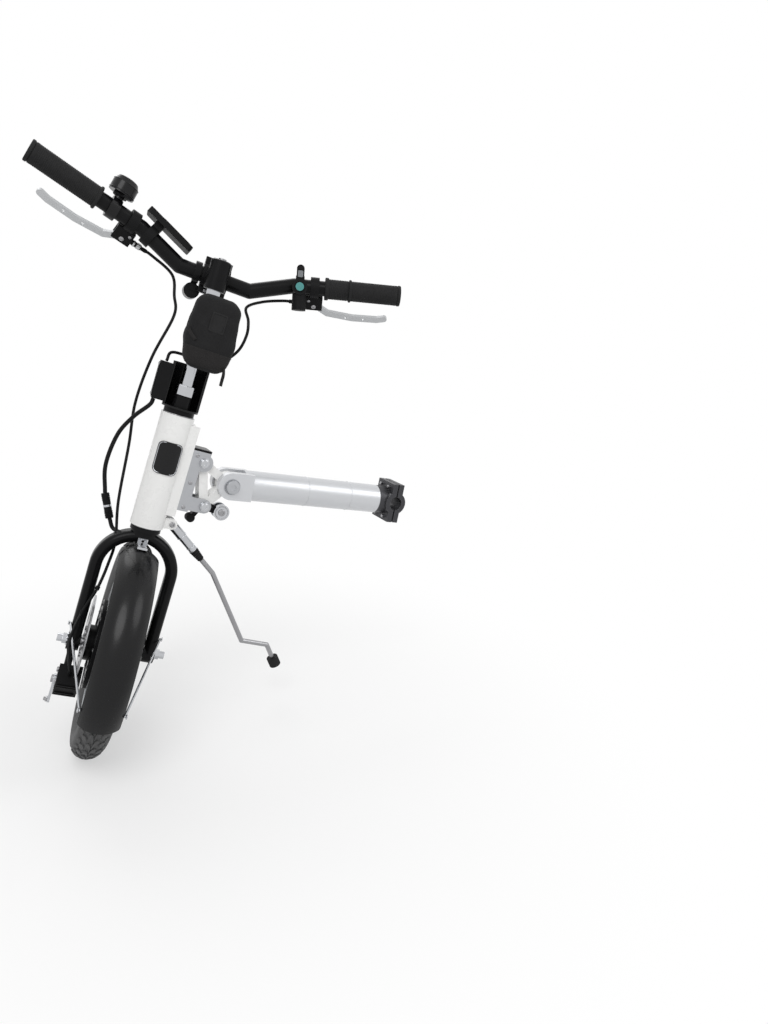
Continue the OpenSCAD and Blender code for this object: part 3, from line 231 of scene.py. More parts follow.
@dataclass(frozen=True)
class Finish:
    """One real surface finish, made as a procedural material.

    Attributes:
        name: Name of the material.
        colour: Linear base colour.
        slot: The record's material slot that it belongs to; not used.
        metallic: 1 for bare metal.
        rough: Middle roughness.
        rough_spread: How far roughness wanders either way.
        tint: How far the colour wanders either way, as a share.
        cloud: Size of the wandering patches, in metres.
        grain: Kind of fine relief.
        grain_size: Size of the relief, in metres.
        bump: Height of the relief, in metres.
        edge: Radius that edges look rounded to, in metres.
        wear: How far edges are rubbed lighter, from 0 to 1.
        coat: Weight of a clear coat.
        sheen: Weight of a cloth sheen.
        spec: Specular level.
        turned: Frame whose axes the relief follows.
    """

    name: str
    colour: Colour
    slot: str
    metallic: float = 0.0
    rough: float = 0.4
    rough_spread: float = 0.06
    tint: float = 0.06
    cloud: float = 0.03
    grain: Grain = Grain.PEBBLE
    grain_size: float = 0.0008
    bump: float = 0.00004
    edge: float = 0.0003
    wear: float = 0.1
    coat: float = 0.0
    sheen: float = 0.0
    spec: float = 0.5
    turned: Optional[Callable[[], Matrix]] = None

    def material(self) -> bpy.types.Material:
        """Makes the material, or finds it if it is made already.

        Returns:
            The node material.
        """
        made = bpy.data.materials.get(self.name)
        if made is not None:
            return made
        made = bpy.data.materials.new(self.name)
        made.use_nodes = True
        tree = made.node_tree
        shader = tree.nodes["Principled BSDF"]
        for socket, value in (
            ("Metallic", self.metallic), ("Coat Weight", self.coat), ("Coat Roughness", COAT_ROUGH),
            ("Sheen Weight", self.sheen), ("Specular IOR Level", self.spec),
        ):
            shader.inputs[socket].default_value = value
        place = self._place(tree)
        patches = self._node(tree, "ShaderNodeTexNoise", Scale=1 / self.cloud, Detail=4.0, Roughness=0.6)
        tree.links.new(place, patches.inputs["Vector"])
        tone = self._mix(tree, self._shade(1 - self.tint), self._shade(1 + self.tint), patches.outputs["Fac"])
        edge = self._edge(tree)
        worn = self._mix(tree, None, self._worn(), edge.outputs["Result"])
        tree.links.new(tone.outputs[2], worn.inputs[6])
        tree.links.new(worn.outputs[2], shader.inputs["Base Color"])
        smear = self._node(tree, "ShaderNodeTexNoise", Scale=3.1 / self.cloud, Detail=5.0, Roughness=0.65)
        tree.links.new(place, smear.inputs["Vector"])
        span = self._node(tree, "ShaderNodeMapRange")
        for name, value in (("From Min", 0.3), ("From Max", 0.7),
                            ("To Min", max(0.03, self.rough - self.rough_spread)),
                            ("To Max", self.rough + self.rough_spread)):
            span.inputs[name].default_value = value
        tree.links.new(smear.outputs["Fac"], span.inputs["Value"])
        tree.links.new(span.outputs["Result"], shader.inputs["Roughness"])
        bump = self._node(tree, "ShaderNodeBump", Strength=1.0, Distance=self.bump)
        tree.links.new(self._relief(tree, place), bump.inputs["Height"])
        tree.links.new(tree.nodes["rounded"].outputs["Normal"], bump.inputs["Normal"])
        tree.links.new(bump.outputs["Normal"], shader.inputs["Normal"])
        return made

    def _shade(self, share: float) -> tuple[float, float, float, float]:
        """The base colour times a share, as RGBA."""
        return tuple(min(1.0, c * share) for c in self.colour) + (1.0,)

    def _worn(self) -> tuple[float, float, float, float]:
        """The colour of a rubbed edge, as RGBA."""
        return tuple(c + (1 - c) * self.wear for c in self.colour) + (1.0,)

    @staticmethod
    def _node(tree: bpy.types.NodeTree, kind: str, **values: float) -> bpy.types.Node:
        """Adds a node and sets its inputs by name.

        Args:
            tree: The material's node tree.
            kind: Blender's name for the node.
            values: Values of its inputs.

        Returns:
            The new node.
        """
        made = tree.nodes.new(kind)
        for name, value in values.items():
            made.inputs[name].default_value = value
        return made

    @staticmethod
    def _mix(tree: bpy.types.NodeTree, first: Optional[Sequence[float]], second: Sequence[float],
             factor: bpy.types.NodeSocket) -> bpy.types.Node:
        """Adds a colour mix of two colours by a factor socket.

        Args:
            tree: The material's node tree.
            first: Colour at factor 0, or None where a link gives it.
            second: Colour at factor 1.
            factor: The socket with the factor.

        Returns:
            The mix node.
        """
        made = tree.nodes.new("ShaderNodeMix")
        made.data_type = "RGBA"
        if first is not None:
            made.inputs[6].default_value = first
        made.inputs[7].default_value = second
        tree.links.new(factor, made.inputs[0])
        return made

    def _place(self, tree: bpy.types.NodeTree) -> bpy.types.NodeSocket:
        """Adds the coordinates that the patterns use.

        Args:
            tree: The material's node tree.

        Returns:
            The socket with the coordinates, in metres.
        """
        where = tree.nodes.new("ShaderNodeTexCoord")
        if self.turned is None:
            return where.outputs["Object"]
        mapping = tree.nodes.new("ShaderNodeMapping")
        mapping.inputs["Rotation"].default_value = self.turned().to_3x3().normalized().inverted().to_euler()
        tree.links.new(where.outputs["Object"], mapping.inputs["Vector"])
        return mapping.outputs["Vector"]

    def _edge(self, tree: bpy.types.NodeTree) -> bpy.types.Node:
        """Adds a mask that is 1 along sharp edges, from a rounded normal against the true one.

        Args:
            tree: The material's node tree.

        Returns:
            The node whose result is the mask.
        """
        rounded = tree.nodes.new("ShaderNodeBevel")
        rounded.name = "rounded"
        rounded.samples = EDGE_SAMPLES
        rounded.inputs["Radius"].default_value = self.edge
        true = tree.nodes.new("ShaderNodeNewGeometry")
        dot = tree.nodes.new("ShaderNodeVectorMath")
        dot.operation = "DOT_PRODUCT"
        tree.links.new(rounded.outputs["Normal"], dot.inputs[0])
        tree.links.new(true.outputs["Normal"], dot.inputs[1])
        span = self._node(tree, "ShaderNodeMapRange")
        for name, value in (("From Min", 0.98), ("From Max", 0.8), ("To Min", 0.0), ("To Max", 1.0)):
            span.inputs[name].default_value = value
        tree.links.new(dot.outputs["Value"], span.inputs["Value"])
        return span

    def _relief(self, tree: bpy.types.NodeTree, place: bpy.types.NodeSocket) -> bpy.types.NodeSocket:
        """Adds the fine relief of the finish's grain.

        Args:
            tree: The material's node tree.
            place: The socket with the coordinates.

        Returns:
            The socket with the height.
        """
        fine = 1 / self.grain_size
        if self.grain is Grain.WEAVE:
            return self._weave(tree, place, fine)
        if self.grain is Grain.BRUSHED:
            stretch = tree.nodes.new("ShaderNodeMapping")
            stretch.inputs["Scale"].default_value = (1.0, 1.0, 0.04)
            tree.links.new(place, stretch.inputs["Vector"])
            place = stretch.outputs["Vector"]
        if self.grain in (Grain.PEBBLE, Grain.RUBBER):
            cells = self._node(tree, "ShaderNodeTexVoronoi", Scale=fine)
            cells.feature = "SMOOTH_F1"
            tree.links.new(place, cells.inputs["Vector"])
            return cells.outputs["Distance"]
        detail = 2.0 if self.grain is Grain.PEEL else 6.0
        noise = self._node(tree, "ShaderNodeTexNoise", Scale=fine, Detail=detail, Roughness=0.55)
        tree.links.new(place, noise.inputs["Vector"])
        return noise.outputs["Fac"]

    def _weave(self, tree: bpy.types.NodeTree, place: bpy.types.NodeSocket, fine: float) -> bpy.types.NodeSocket:
        """Adds a plain weave of two crossing sets of yarns.

        Args:
            tree: The material's node tree.
            place: The socket with the coordinates.
            fine: Yarns for each metre.

        Returns:
            The socket with the height.
        """
        sets = []
        for way in ("Y", "Z"):
            wave = self._node(tree, "ShaderNodeTexWave", Scale=fine / YARN_TURN)
            wave.bands_direction = way
            tree.links.new(place, wave.inputs["Vector"])
            sets.append(wave)
        both = tree.nodes.new("ShaderNodeMath")
        both.operation = "MULTIPLY"
        for i, wave in enumerate(sets):
            tree.links.new(wave.outputs["Fac"], both.inputs[i])
        return both.outputs["Value"]


class Finishes:
    """The finishes of this object."""

    silver = Finish("silver_lacquer", (0.58, 0.59, 0.61), "silver_paint", metallic=0.5, rough=0.34, tint=0.02,
                    cloud=0.08, grain=Grain.PEEL, grain_size=0.0016, bump=0.000006, edge=0.0003, wear=0.1, coat=0.4)
    white = Finish("pearl_lacquer", (0.80, 0.80, 0.79), "white_paint", metallic=0.0, rough=0.28, rough_spread=0.02,
                   tint=0.004, cloud=0.09, grain=Grain.PEEL, grain_size=0.0018, bump=0.0000002, edge=0.00002,
                   wear=0.05, coat=0.1)
    plate = Finish("bead_blasted_alloy", (0.44, 0.45, 0.47), "grey_alloy", metallic=0.8, rough=0.42, tint=0.04,
                   cloud=0.03, grain=Grain.CAST, grain_size=0.0005, bump=0.000006, edge=0.0003, wear=0.25)
    clamp = Finish("dark_anodised_alloy", (0.05, 0.05, 0.055), "clamp_alloy", metallic=0.6, rough=0.42, tint=0.08,
                   cloud=0.02, grain=Grain.CAST, grain_size=0.0006, bump=0.00001, wear=0.2)
    chrome = Finish("chrome_plate", (0.50, 0.51, 0.53), "bright_steel", metallic=1.0, rough=0.13, rough_spread=0.05,
                    tint=0.03, cloud=0.03, grain=Grain.BRUSHED, grain_size=0.0012, bump=0.000001, wear=0.12)
    steel = Finish("turned_steel", (0.34, 0.34, 0.35), "plain_steel", metallic=1.0, rough=0.32, rough_spread=0.08,
                   tint=0.08, cloud=0.015, grain=Grain.BRUSHED, grain_size=0.0008, bump=0.000002, wear=0.2)
    black = Finish("satin_black_enamel", (0.006, 0.006, 0.0065), "black_paint", rough=0.3, rough_spread=0.05, tint=0.15,
                   cloud=0.05, grain=Grain.PEEL, grain_size=0.0016, bump=0.000006, wear=0.004, coat=0.05, spec=0.09)
    gloss = Finish("gloss_black_shell", (0.004, 0.004, 0.0045), "gloss_black", rough=0.27, rough_spread=0.04, tint=0.15,
                   cloud=0.07, grain=Grain.PEEL, grain_size=0.004, bump=0.000006, wear=0.004, coat=0.1, spec=0.22)
    matte = Finish("matte_black_moulding", (0.010, 0.010, 0.0105), "matte_black", rough=0.5, rough_spread=0.1,
                   tint=0.18, cloud=0.02, grain=Grain.PEBBLE, grain_size=0.0007, bump=0.00004, wear=0.004, spec=0.07)
    key = Finish("grey_key_top", (0.16, 0.17, 0.18), "button_grey", rough=0.45, grain=Grain.PEBBLE)
    teal = Finish("teal_key_top", (0.04, 0.24, 0.23), "button_teal", rough=0.3, tint=0.1, grain=Grain.PEEL, coat=0.4)
    lever = Finish("polished_lever_alloy", (0.50, 0.51, 0.52), "lever_alloy", metallic=0.9, rough=0.34, tint=0.02,
                   cloud=0.02, grain=Grain.BRUSHED, grain_size=0.0012, bump=0.0000002, edge=0.0002, wear=0.15)
    grip = Finish("soft_grip_rubber", (0.019, 0.019, 0.0195), "grip_rubber", rough=0.7, rough_spread=0.1, tint=0.2,
                  cloud=0.012, grain=Grain.RUBBER, grain_size=0.0009, bump=0.00003, wear=0.002, spec=0.12)
    tyre = Finish("moulded_tyre_rubber", (0.082, 0.082, 0.083), "tyre_rubber", rough=0.62, rough_spread=0.1, tint=0.25,
                  cloud=0.02, grain=Grain.RUBBER, grain_size=0.0012, bump=0.00004, wear=0.05, spec=0.2)
    wheel = Finish("wheel_casting", (0.34, 0.35, 0.36), "wheel_alloy", metallic=0.8, rough=0.4, tint=0.05, cloud=0.03,
                   grain=Grain.CAST, grain_size=0.0008, bump=0.000006, wear=0.35)
    core = Finish("stator_laminations", (0.35, 0.20, 0.12), "stator_core", metallic=0.7, rough=0.4)
    cloth = Finish("woven_pouch_cloth", (0.016, 0.016, 0.0165), "pouch_cloth", rough=0.8, rough_spread=0.08, tint=0.25,
                   cloud=0.03, grain=Grain.WEAVE, grain_size=0.0011, bump=0.00012, edge=0.0002, wear=0.002,
                   sheen=0.03, spec=0.1, turned=FRAMES.steer)
    webbing = Finish("strap_webbing", (0.022, 0.021, 0.021), "pouch_cloth", rough=0.75, tint=0.2, cloud=0.01,
                     grain=Grain.WEAVE, grain_size=0.0016, bump=0.00018, edge=0.0002, wear=0.004, sheen=0.03,
                     spec=0.1, turned=FRAMES.steer)
    jacket = Finish("smooth_cable_jacket", (0.006, 0.006, 0.0065), "cable_jacket", rough=0.4, tint=0.15, cloud=0.02,
                    grain=Grain.PEEL, grain_size=0.001, bump=0.000008, wear=0.004, spec=0.15)
    glass = Finish("dark_glass", (0.006, 0.007, 0.009), "gloss_black", rough=0.06, rough_spread=0.02, tint=0.1,
                   grain=Grain.PEEL, grain_size=0.02, bump=0.000002, wear=0.02, coat=0.6, spec=0.4)
    lens = Finish("fluted_lens", (0.55, 0.57, 0.59), "bright_steel", metallic=0.5, rough=0.12, rough_spread=0.04,
                  tint=0.05, grain=Grain.BRUSHED, grain_size=0.002, bump=0.00001, wear=0.1, coat=1.0)


class Shape:
    """A mesh in the making, in millimetres of its own frame."""

    def __init__(self) -> None:
        """Starts empty."""
        self.verts: list[tuple[float, float, float]] = []
        self.faces: list[tuple[int, ...]] = []

    def add(self, verts: Iterable[Point], faces: Iterable[Sequence[int]], at: Optional[Matrix] = None) -> "Shape":
        """Adds vertices and faces.

        Args:
            verts: Points in millimetres.
            faces: Index lists into verts.
            at: Frame that the points are given in.

        Returns:
            The shape itself.
        """
        start = len(self.verts)
        for v in verts:
            self.verts.append(tuple(at @ Vector(v)) if at is not None else tuple(v))
        self.faces += [tuple(start + i for i in f) for f in faces]
        return self

    def grid(self, rows: Sequence[Sequence[Point]], at: Optional[Matrix] = None, round_rows: bool = True,
             closed: bool = False, caps: bool = True) -> "Shape":
        """Adds a skin over rows of points.

        Args:
            rows: Rows with the same number of points.
            at: Frame that the points are given in.
            round_rows: Whether each row closes on itself.
            closed: Whether the last row joins the first.
            caps: Whether open ends are filled.

        Returns:
            The shape itself.
        """
        n, k = len(rows), len(rows[0])
        faces = []
        for i in range(n if closed else n - 1):
            for j in range(k if round_rows else k - 1):
                a, b = i * k + j, i * k + (j + 1) % k
                c, d = (i + 1) % n * k + (j + 1) % k, (i + 1) % n * k + j
                faces.append((a, b, c, d))
        if round_rows and caps and not closed:
            faces += [tuple(range(k))[::-1], tuple((n - 1) * k + j for j in range(k))]
        return self.add([p for row in rows for p in row], faces, at)

    def revolve(self, profile: Sequence[tuple[float, float]], sides: int = 48, at: Optional[Matrix] = None,
                closed: bool = False) -> "Shape":
        """Adds a profile of radius and height turned about Z.

        Args:
            profile: Radius and height of each point.
            sides: Number of steps round.
            at: Frame of the axis.
            closed: Whether the profile is a ring.

        Returns:
            The shape itself.
        """
        angles = [2 * math.pi * j / sides for j in range(sides)]
        rows = [[(r * math.cos(a), r * math.sin(a), z) for a in angles] for r, z in profile]
        return self.grid(rows, at, closed=closed)

    def tube(self, path: Sequence[Point], radius: float, sides: int = 14, at: Optional[Matrix] = None,
             closed: bool = False, flat: float = 1.0) -> "Shape":
        """Adds a tube along a path.

        Args:
            path: Points of the centre line.
            radius: Radius of the tube.
            sides: Number of steps round.
            at: Frame of the path.
            closed: Whether the path is a ring.
            flat: Share of the radius across the tube's own second axis.

        Returns:
            The shape itself.
        """
        pts = [Vector(p) for p in path]
        n = len(pts)
        rows, up = [], None
        for i, p in enumerate(pts):
            a = pts[(i - 1) % n] if closed or i else p
            b = pts[(i + 1) % n] if closed or i < n - 1 else p
            way = (b - a).normalized()
            if up is None:
                up = way.orthogonal().normalized()
            up = (up - way * up.dot(way)).normalized()
            out = way.cross(up)
            rows.append([p + (up * math.cos(t) + out * math.sin(t) * flat) * radius
                         for t in (2 * math.pi * j / sides for j in range(sides))])
        return self.grid(rows, at, closed=closed)

    def ring(self, radius: float, fat: float, at: Matrix, steps: int = 40, sides: int = 8) -> "Shape":
        """Adds a round wire bent into a ring about Z.

        Args:
            radius: Radius of the ring's centre line.
            fat: Radius of the wire.
            at: Frame of the ring.
            steps: Number of steps round the ring.
            sides: Number of steps round the wire.

        Returns:
            The shape itself.
        """
        angles = [2 * math.pi * i / steps for i in range(steps)]
        path = [(radius * math.cos(a), radius * math.sin(a), 0.0) for a in angles]
        return self.tube(path, fat, sides, at, closed=True)

    def slab(self, outline: Sequence[tuple[float, float]], low: float, high: float, at: Optional[Matrix] = None,
             ease: float = 0.4) -> "Shape":
        """Adds a flat outline given a thickness, with eased edges.

        Args:
            outline: Points round the outline, in X and Y.
            low: Height of the lower face.
            high: Height of the upper face.
            at: Frame of the outline.
            ease: Width of the eased edge.

        Returns:
            The shape itself.
        """
        cx = sum(p[0] for p in outline) / len(outline)
        cy = sum(p[1] for p in outline) / len(outline)

        def inset(by: float) -> list[tuple[float, float]]:
            """The outline drawn in towards its middle.

            Args:
                by: How far it is drawn in.

            Returns:
                Points round the new outline.
            """
            made = []
            for x, y in outline:
                d = math.hypot(x - cx, y - cy) or 1.0
                made.append((x - (x - cx) / d * by, y - (y - cy) / d * by))
            return made

        levels = [(low, ease), (low + ease, 0.0), (high - ease, 0.0), (high, ease)]
        return self.grid([[(x, y, z) for x, y in inset(by)] for z, by in levels], at)

    def piece(self, name: str, frame: Matrix, finish: Finish, body: str, stands_for: Sequence[str] = (),
              sharp: float = 38.0) -> bpy.types.Object:
        """Makes the Blender object, and lets it ride on a body.

        Args:
            name: Name of the piece.
            frame: Frame of the shape's points.
            finish: Finish that it gets.
            body: CAD body that it moves with.
            stands_for: CAD nodes that it replaces.
            sharp: Angle in degrees above which an edge stays sharp.

        Returns:
            The new object.
        """
        mesh = bpy.data.meshes.new(name)
        mesh.from_pydata([frame @ Vector(v) for v in self.verts], [], self.faces)
        work = bmesh.new()
        work.from_mesh(mesh)
        bmesh.ops.remove_doubles(work, verts=work.verts, dist=1e-6)
        bmesh.ops.recalc_face_normals(work, faces=work.faces)
        work.to_mesh(mesh)
        work.free()
        mesh.shade_smooth()
        mesh.set_sharp_from_angle(angle=math.radians(sharp))
        made = bpy.data.objects.new(name, mesh)
        bpy.context.scene.collection.objects.link(made)
        return settle(made, finish, body, stands_for)


def settle(made: bpy.types.Object, finish: Finish, body: str, stands_for: Sequence[str] = ()) -> bpy.types.Object:
    """Gives a new piece its finish, its body and the nodes that it stands for.

    Args:
        made: The piece.
        finish: Finish that it gets.
        body: CAD body that it moves with.
        stands_for: CAD nodes that it replaces.

    Returns:
        The piece.
    """
    made.data.materials.clear()
    made.data.materials.append(finish.material())
    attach(made, body)
    if stands_for:
        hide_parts(*stands_for)
    LOG.info("piece %s on %s", made.name, body)
    return made


def smooth_path(points: Sequence[Point], steps: int = 8) -> list[Vector]:
    """Catmull-Rom curve through points.

    Args:
        points: Points that the curve goes through.
        steps: Points of the curve for each stretch.

    Returns:
        The points of the curve.
    """
    p = [Vector(q) for q in points]
    p = [p[0] * 2 - p[1]] + p + [p[-1] * 2 - p[-2]]
    made = []
    for i in range(1, len(p) - 2):
        for j in range(steps):
            t = j / steps
            a, b, c, d = p[i - 1], p[i], p[i + 1], p[i + 2]
            made.append(((b * 2) + (c - a) * t + (a * 2 - b * 5 + c * 4 - d) * t * t
                         + (b * 3 - a - c * 3 + d) * t * t * t) * 0.5)
    return made + [p[-2]]


def soft_rect(width: float, height: float, radius: float, steps: int = 6) -> list[tuple[float, float]]:
    """Outline of a rectangle with round corners.

    Args:
        width: Size along X.
        height: Size along Y.
        radius: Corner radius.
        steps: Points for each corner.

    Returns:
        Points round the outline.
    """
    made = []
    for cx, cy, start in ((1, 1, 0), (-1, 1, 90), (-1, -1, 180), (1, -1, 270)):
        for i in range(steps + 1):
            a = math.radians(start + 90 * i / steps)
            made.append((cx * (width / 2 - radius) + radius * math.cos(a),
                         cy * (height / 2 - radius) + radius * math.sin(a)))
    return made


def hexagon(across: float) -> list[tuple[float, float]]:
    """Outline of a hexagon by its width across flats."""
    angles = [math.radians(60 * i + 30) for i in range(6)]
    return [(across / math.sqrt(3) * math.cos(a), across / math.sqrt(3) * math.sin(a)) for a in angles]


@dataclass
class SubAssembly:
    """Base of the sub-assemblies: it dresses the carried-over solids."""

    def finishes(self) -> dict[str, Finish]:
        """Finish of each CAD node that stays."""
        return {}

    def build(self) -> list[bpy.types.Object]:
        """Makes the sub-assembly's own pieces."""
        return []

    def dress(self, nodes: dict[str, bpy.types.Object]) -> None:
        """Puts the finishes on the CAD nodes.

        Args:
            nodes: The frame's nodes by name.
        """
        for name, finish in self.finishes().items():
            nodes[name].data.materials.clear()
            nodes[name].data.materials.append(finish.material())
            LOG.info("node %s as %s", name, finish.name)


@dataclass(frozen=True)
class Screw:
    """Head of a socket screw or pin, seen from its end.

    Attributes:
        radius: Radius of the head.
        height: Height of the head above its seat.
        socket: Width across the socket's flats, or 0 for none.
        dome: How far the head is domed.
    """

    radius: float
    height: float
    socket: float = 0.0
    dome: float = 0.4

    def add_to(self, shape: Shape, at: Matrix) -> None:
        """Adds the head to a shape.

        Args:
            shape: Shape that gets it.
            at: Frame of the seat, with Z out of it.
        """
        r, h = self.radius, self.height
        inner = max(self.socket * 0.62, r * 0.3)
        floor = h * 0.35 if self.socket else h + self.dome
        profile = [(r, 0.0), (r, h - self.dome - 0.3), (r - 0.3, h - self.dome), (r * 0.75, h - 0.1), (inner, h),
                   (inner * 0.96, floor), (inner * 0.2, floor)]
        shape.revolve(profile, 28, at)


def side_face(x: float, y: float, z: float) -> Matrix:
    """Frame on a face that looks to the side that y is on, with Z out of it."""
    return move(x, y, z) @ turn("X", -90 if y > 0 else 90)


@dataclass
class Arm(SubAssembly):
    """Reaching arm, its clevis and the clamp on the chair's cross tube."""

    radius: float = 27.0
    seams: tuple[float, ...] = (96.0, 184.0)
    seam_r: float = 0.45
    pivot_out: float = 33.0
    pivot_cap: Screw = Screw(11.4, 1.6, 8.0)
    washer: tuple[float, float, float] = (13.6, 0.8, -5.6)
    clamp_bolt: tuple[float, float, float] = (-17.0, 15.0, 29.7)
    clamp_head: Screw = Screw(5.4, 1.2, 5.0)

    def finishes(self) -> dict[str, Finish]:
        """Finish of each CAD node that stays.

        Returns:
            The finishes by node name.
        """
        f = Finishes
        return {"arm_tube": f.silver, "arm_clevis": f.silver, "clevis_bolt": f.plate, "frame_clamp": f.clamp,
                "frame_clamp_cap": f.clamp, "clamp_bolts": f.steel}

    def build(self) -> list[bpy.types.Object]:
        """Makes the arm's seams, the pivot bolt's caps and the clamp screws' heads.

        Returns:
            The new pieces.
        """
        rings, caps, heads = Shape(), Shape(), Shape()
        for x in self.seams:
            rings.ring(self.radius + 0.05, self.seam_r, move(x) @ turn("Y", 90), 72)
        r, fat, sunk = self.washer
        for y in (self.pivot_out, -self.pivot_out):
            at = side_face(FRAMES.arm_len, y, 0)
            self.pivot_cap.add_to(caps, at)
            caps.ring(r, fat, at @ move(0, 0, sunk), 48)
        x, across, up = self.clamp_bolt
        for y in (across, -across):
            for z in (up, -up):
                self.clamp_head.add_to(heads, move(x, y, z) @ turn("Y", -90))
        return [rings.piece("arm_seams", FRAMES.arm(), Finishes.silver, "frame"),
                caps.piece("pivot_caps", FRAMES.arm(), Finishes.plate, "frame"),
                heads.piece("clamp_sockets", FRAMES.arm(), Finishes.steel, "frame")]


@dataclass
class Coupler(SubAssembly):
    """Plates that hang the head on the arm, with their pins and the latch.

    Attributes:
        pins: Place of each cross pin in the head frame, as X and height.
        pin_out: Distance of the pin heads' faces from the middle.
        plate_out: Distance of the plates' faces from the middle.
        screws: Places of the small plate screws, as X and height.
        roller: Place of the latch's roller.
        roller_out: Distance of the roller's faces from the middle.
        knob: Place of the latch's knob.
        knob_r: Radius of the knob in its grooves, and how far its ridges stand out.
        knob_z: Heights of the knob's grooves and ridges, in turn.
    """

    pins: tuple[tuple[float, float], ...] = ((-60.0, 538.0), (-81.0, 465.0))
    pin_out: float = 23.0
    plate_out: float = 19.0
    screws: tuple[tuple[float, float], ...] = ((-45.0, 548.0), (-46.0, 500.0), (-46.0, 457.0))
    roller: tuple[float, float] = (-116.6, 459.7)
    roller_out: float = 12.0
    knob: tuple[float, float] = (-67.85, 438.0)
    knob_r: tuple[float, float] = (7.2, 0.5)
    knob_z: tuple[float, ...] = (-7.5, -6.5, -4.5, -2.5, -0.5, 1.5, 3.5, 5.5, 6.8)
    pin_cap: Screw = Screw(6.8, 1.4, 5.0)
    plate_screw: Screw = Screw(3.2, 1.8, 2.6)
    roller_bolt: Screw = Screw(6.0, 2.6, 5.0)

    def finishes(self) -> dict[str, Finish]:
        """Finish of each CAD node that stays.

        Returns:
            The finishes by node name.
        """
        f = Finishes
        return {"dock_tongue": f.white, "coupler_plates": f.plate, "coupler_bridge": f.black, "coupler_pins": f.chrome,
                "latch_cam": f.black, "latch_roller": f.chrome}

    def build(self) -> list[bpy.types.Object]:
        """Makes the pins' caps, the plate screws, the roller's bolt and the knob.

        Returns:
            The new pieces.
        """
        caps, screws, bolts, knob = Shape(), Shape(), Shape(), Shape()
        for side in (1, -1):
            for x, s in self.pins:
                at = side_face(x, side * self.pin_out, s)
                self.pin_cap.add_to(caps, at)
                caps.ring(8.4, 0.7, at @ move(0, 0, -3.2))
            for x, s in self.screws:
                self.plate_screw.add_to(screws, side_face(x, side * self.plate_out, s))
            at = side_face(self.roller[0], side * self.roller_out, self.roller[1])
            self.roller_bolt.add_to(bolts, at)
            bolts.ring(11.0, 0.6, at)
        r, ridge = self.knob_r
        grip = [(r + (ridge if i % 2 else 0.0), z) for i, z in enumerate(self.knob_z)]
        grip = [(5.0, -8.2)] + grip + [(5.0, 7.6)]
        knob.revolve(grip, 32, side_face(self.knob[0], 0.001, self.knob[1]))
        frame = FRAMES.head()
        return [caps.piece("pin_caps", frame, Finishes.chrome, "frame"),
                screws.piece("plate_screws", frame, Finishes.steel, "frame"),
                bolts.piece("roller_bolts", frame, Finishes.steel, "latch"),
                knob.piece("latch_knob", frame, Finishes.matte, "latch")]


@dataclass
class Head(SubAssembly):
    """Head tube with its rail, cups and bare badge plate.

    Attributes:
        cup_r: Radius of the cups.
        rim_s: Heights of the cups' bright rings.
        badge_r: Radius that the badge's rim lies on.
        badge_at: Angle of the badge round the tube, in degrees.
        badge_s: Height of the badge's middle.
        badge_size: Width and height inside the rim.
        badge_corner: Corner radius of the rim.
        rail_screws: Heights of the rail's screws.
        rail_x: Face of the rail.
    """

    cup_r: float = 25.0
    rim_s: tuple[float, ...] = (409.2, 604.8)
    badge_r: float = 29.1
    badge_at: float = 82.0
    badge_s: float = 532.0
    badge_size: tuple[float, float] = (37.0, 51.0)
    badge_corner: float = 8.0
    rail_screws: tuple[float, ...] = (452.0, 582.0)
    rail_x: float = -32.0
    rail_screw: Screw = Screw(3.0, 1.4, 2.4)

    def finishes(self) -> dict[str, Finish]:
        """Finish of each CAD node that stays."""
        f = Finishes
        return {"head_tube": f.white, "head_rail": f.white, "badge_plate": f.gloss, "headset_cups": f.black}

    def build(self) -> list[bpy.types.Object]:
        """Makes the plain rim of the bare badge, the cups' bright rings and the rail's screws.

        Returns:
            The new pieces.
        """
        rim, rings, screws = Shape(), Shape(), Shape()
        path = []
        for w, h in soft_rect(*self.badge_size, self.badge_corner, 8):
            a = math.radians(self.badge_at) + math.asin(w / self.badge_r)
            path.append((self.badge_r * math.cos(a), self.badge_r * math.sin(a), self.badge_s + h))
        rim.tube(path, 0.7, 10, closed=True)
        for s in self.rim_s:
            rings.ring(self.cup_r + 0.1, 0.8, move(0, 0, s), 64, 10)
        for s in self.rail_screws:
            self.rail_screw.add_to(screws, move(self.rail_x, 0, s) @ turn("Y", -90))
        frame = FRAMES.head()
        return [rim.piece("badge_rim", frame, Finishes.chrome, "frame"),
                rings.piece("cup_rings", frame, Finishes.steel, "frame"),
                screws.piece("rail_screws", frame, Finishes.steel, "frame")]


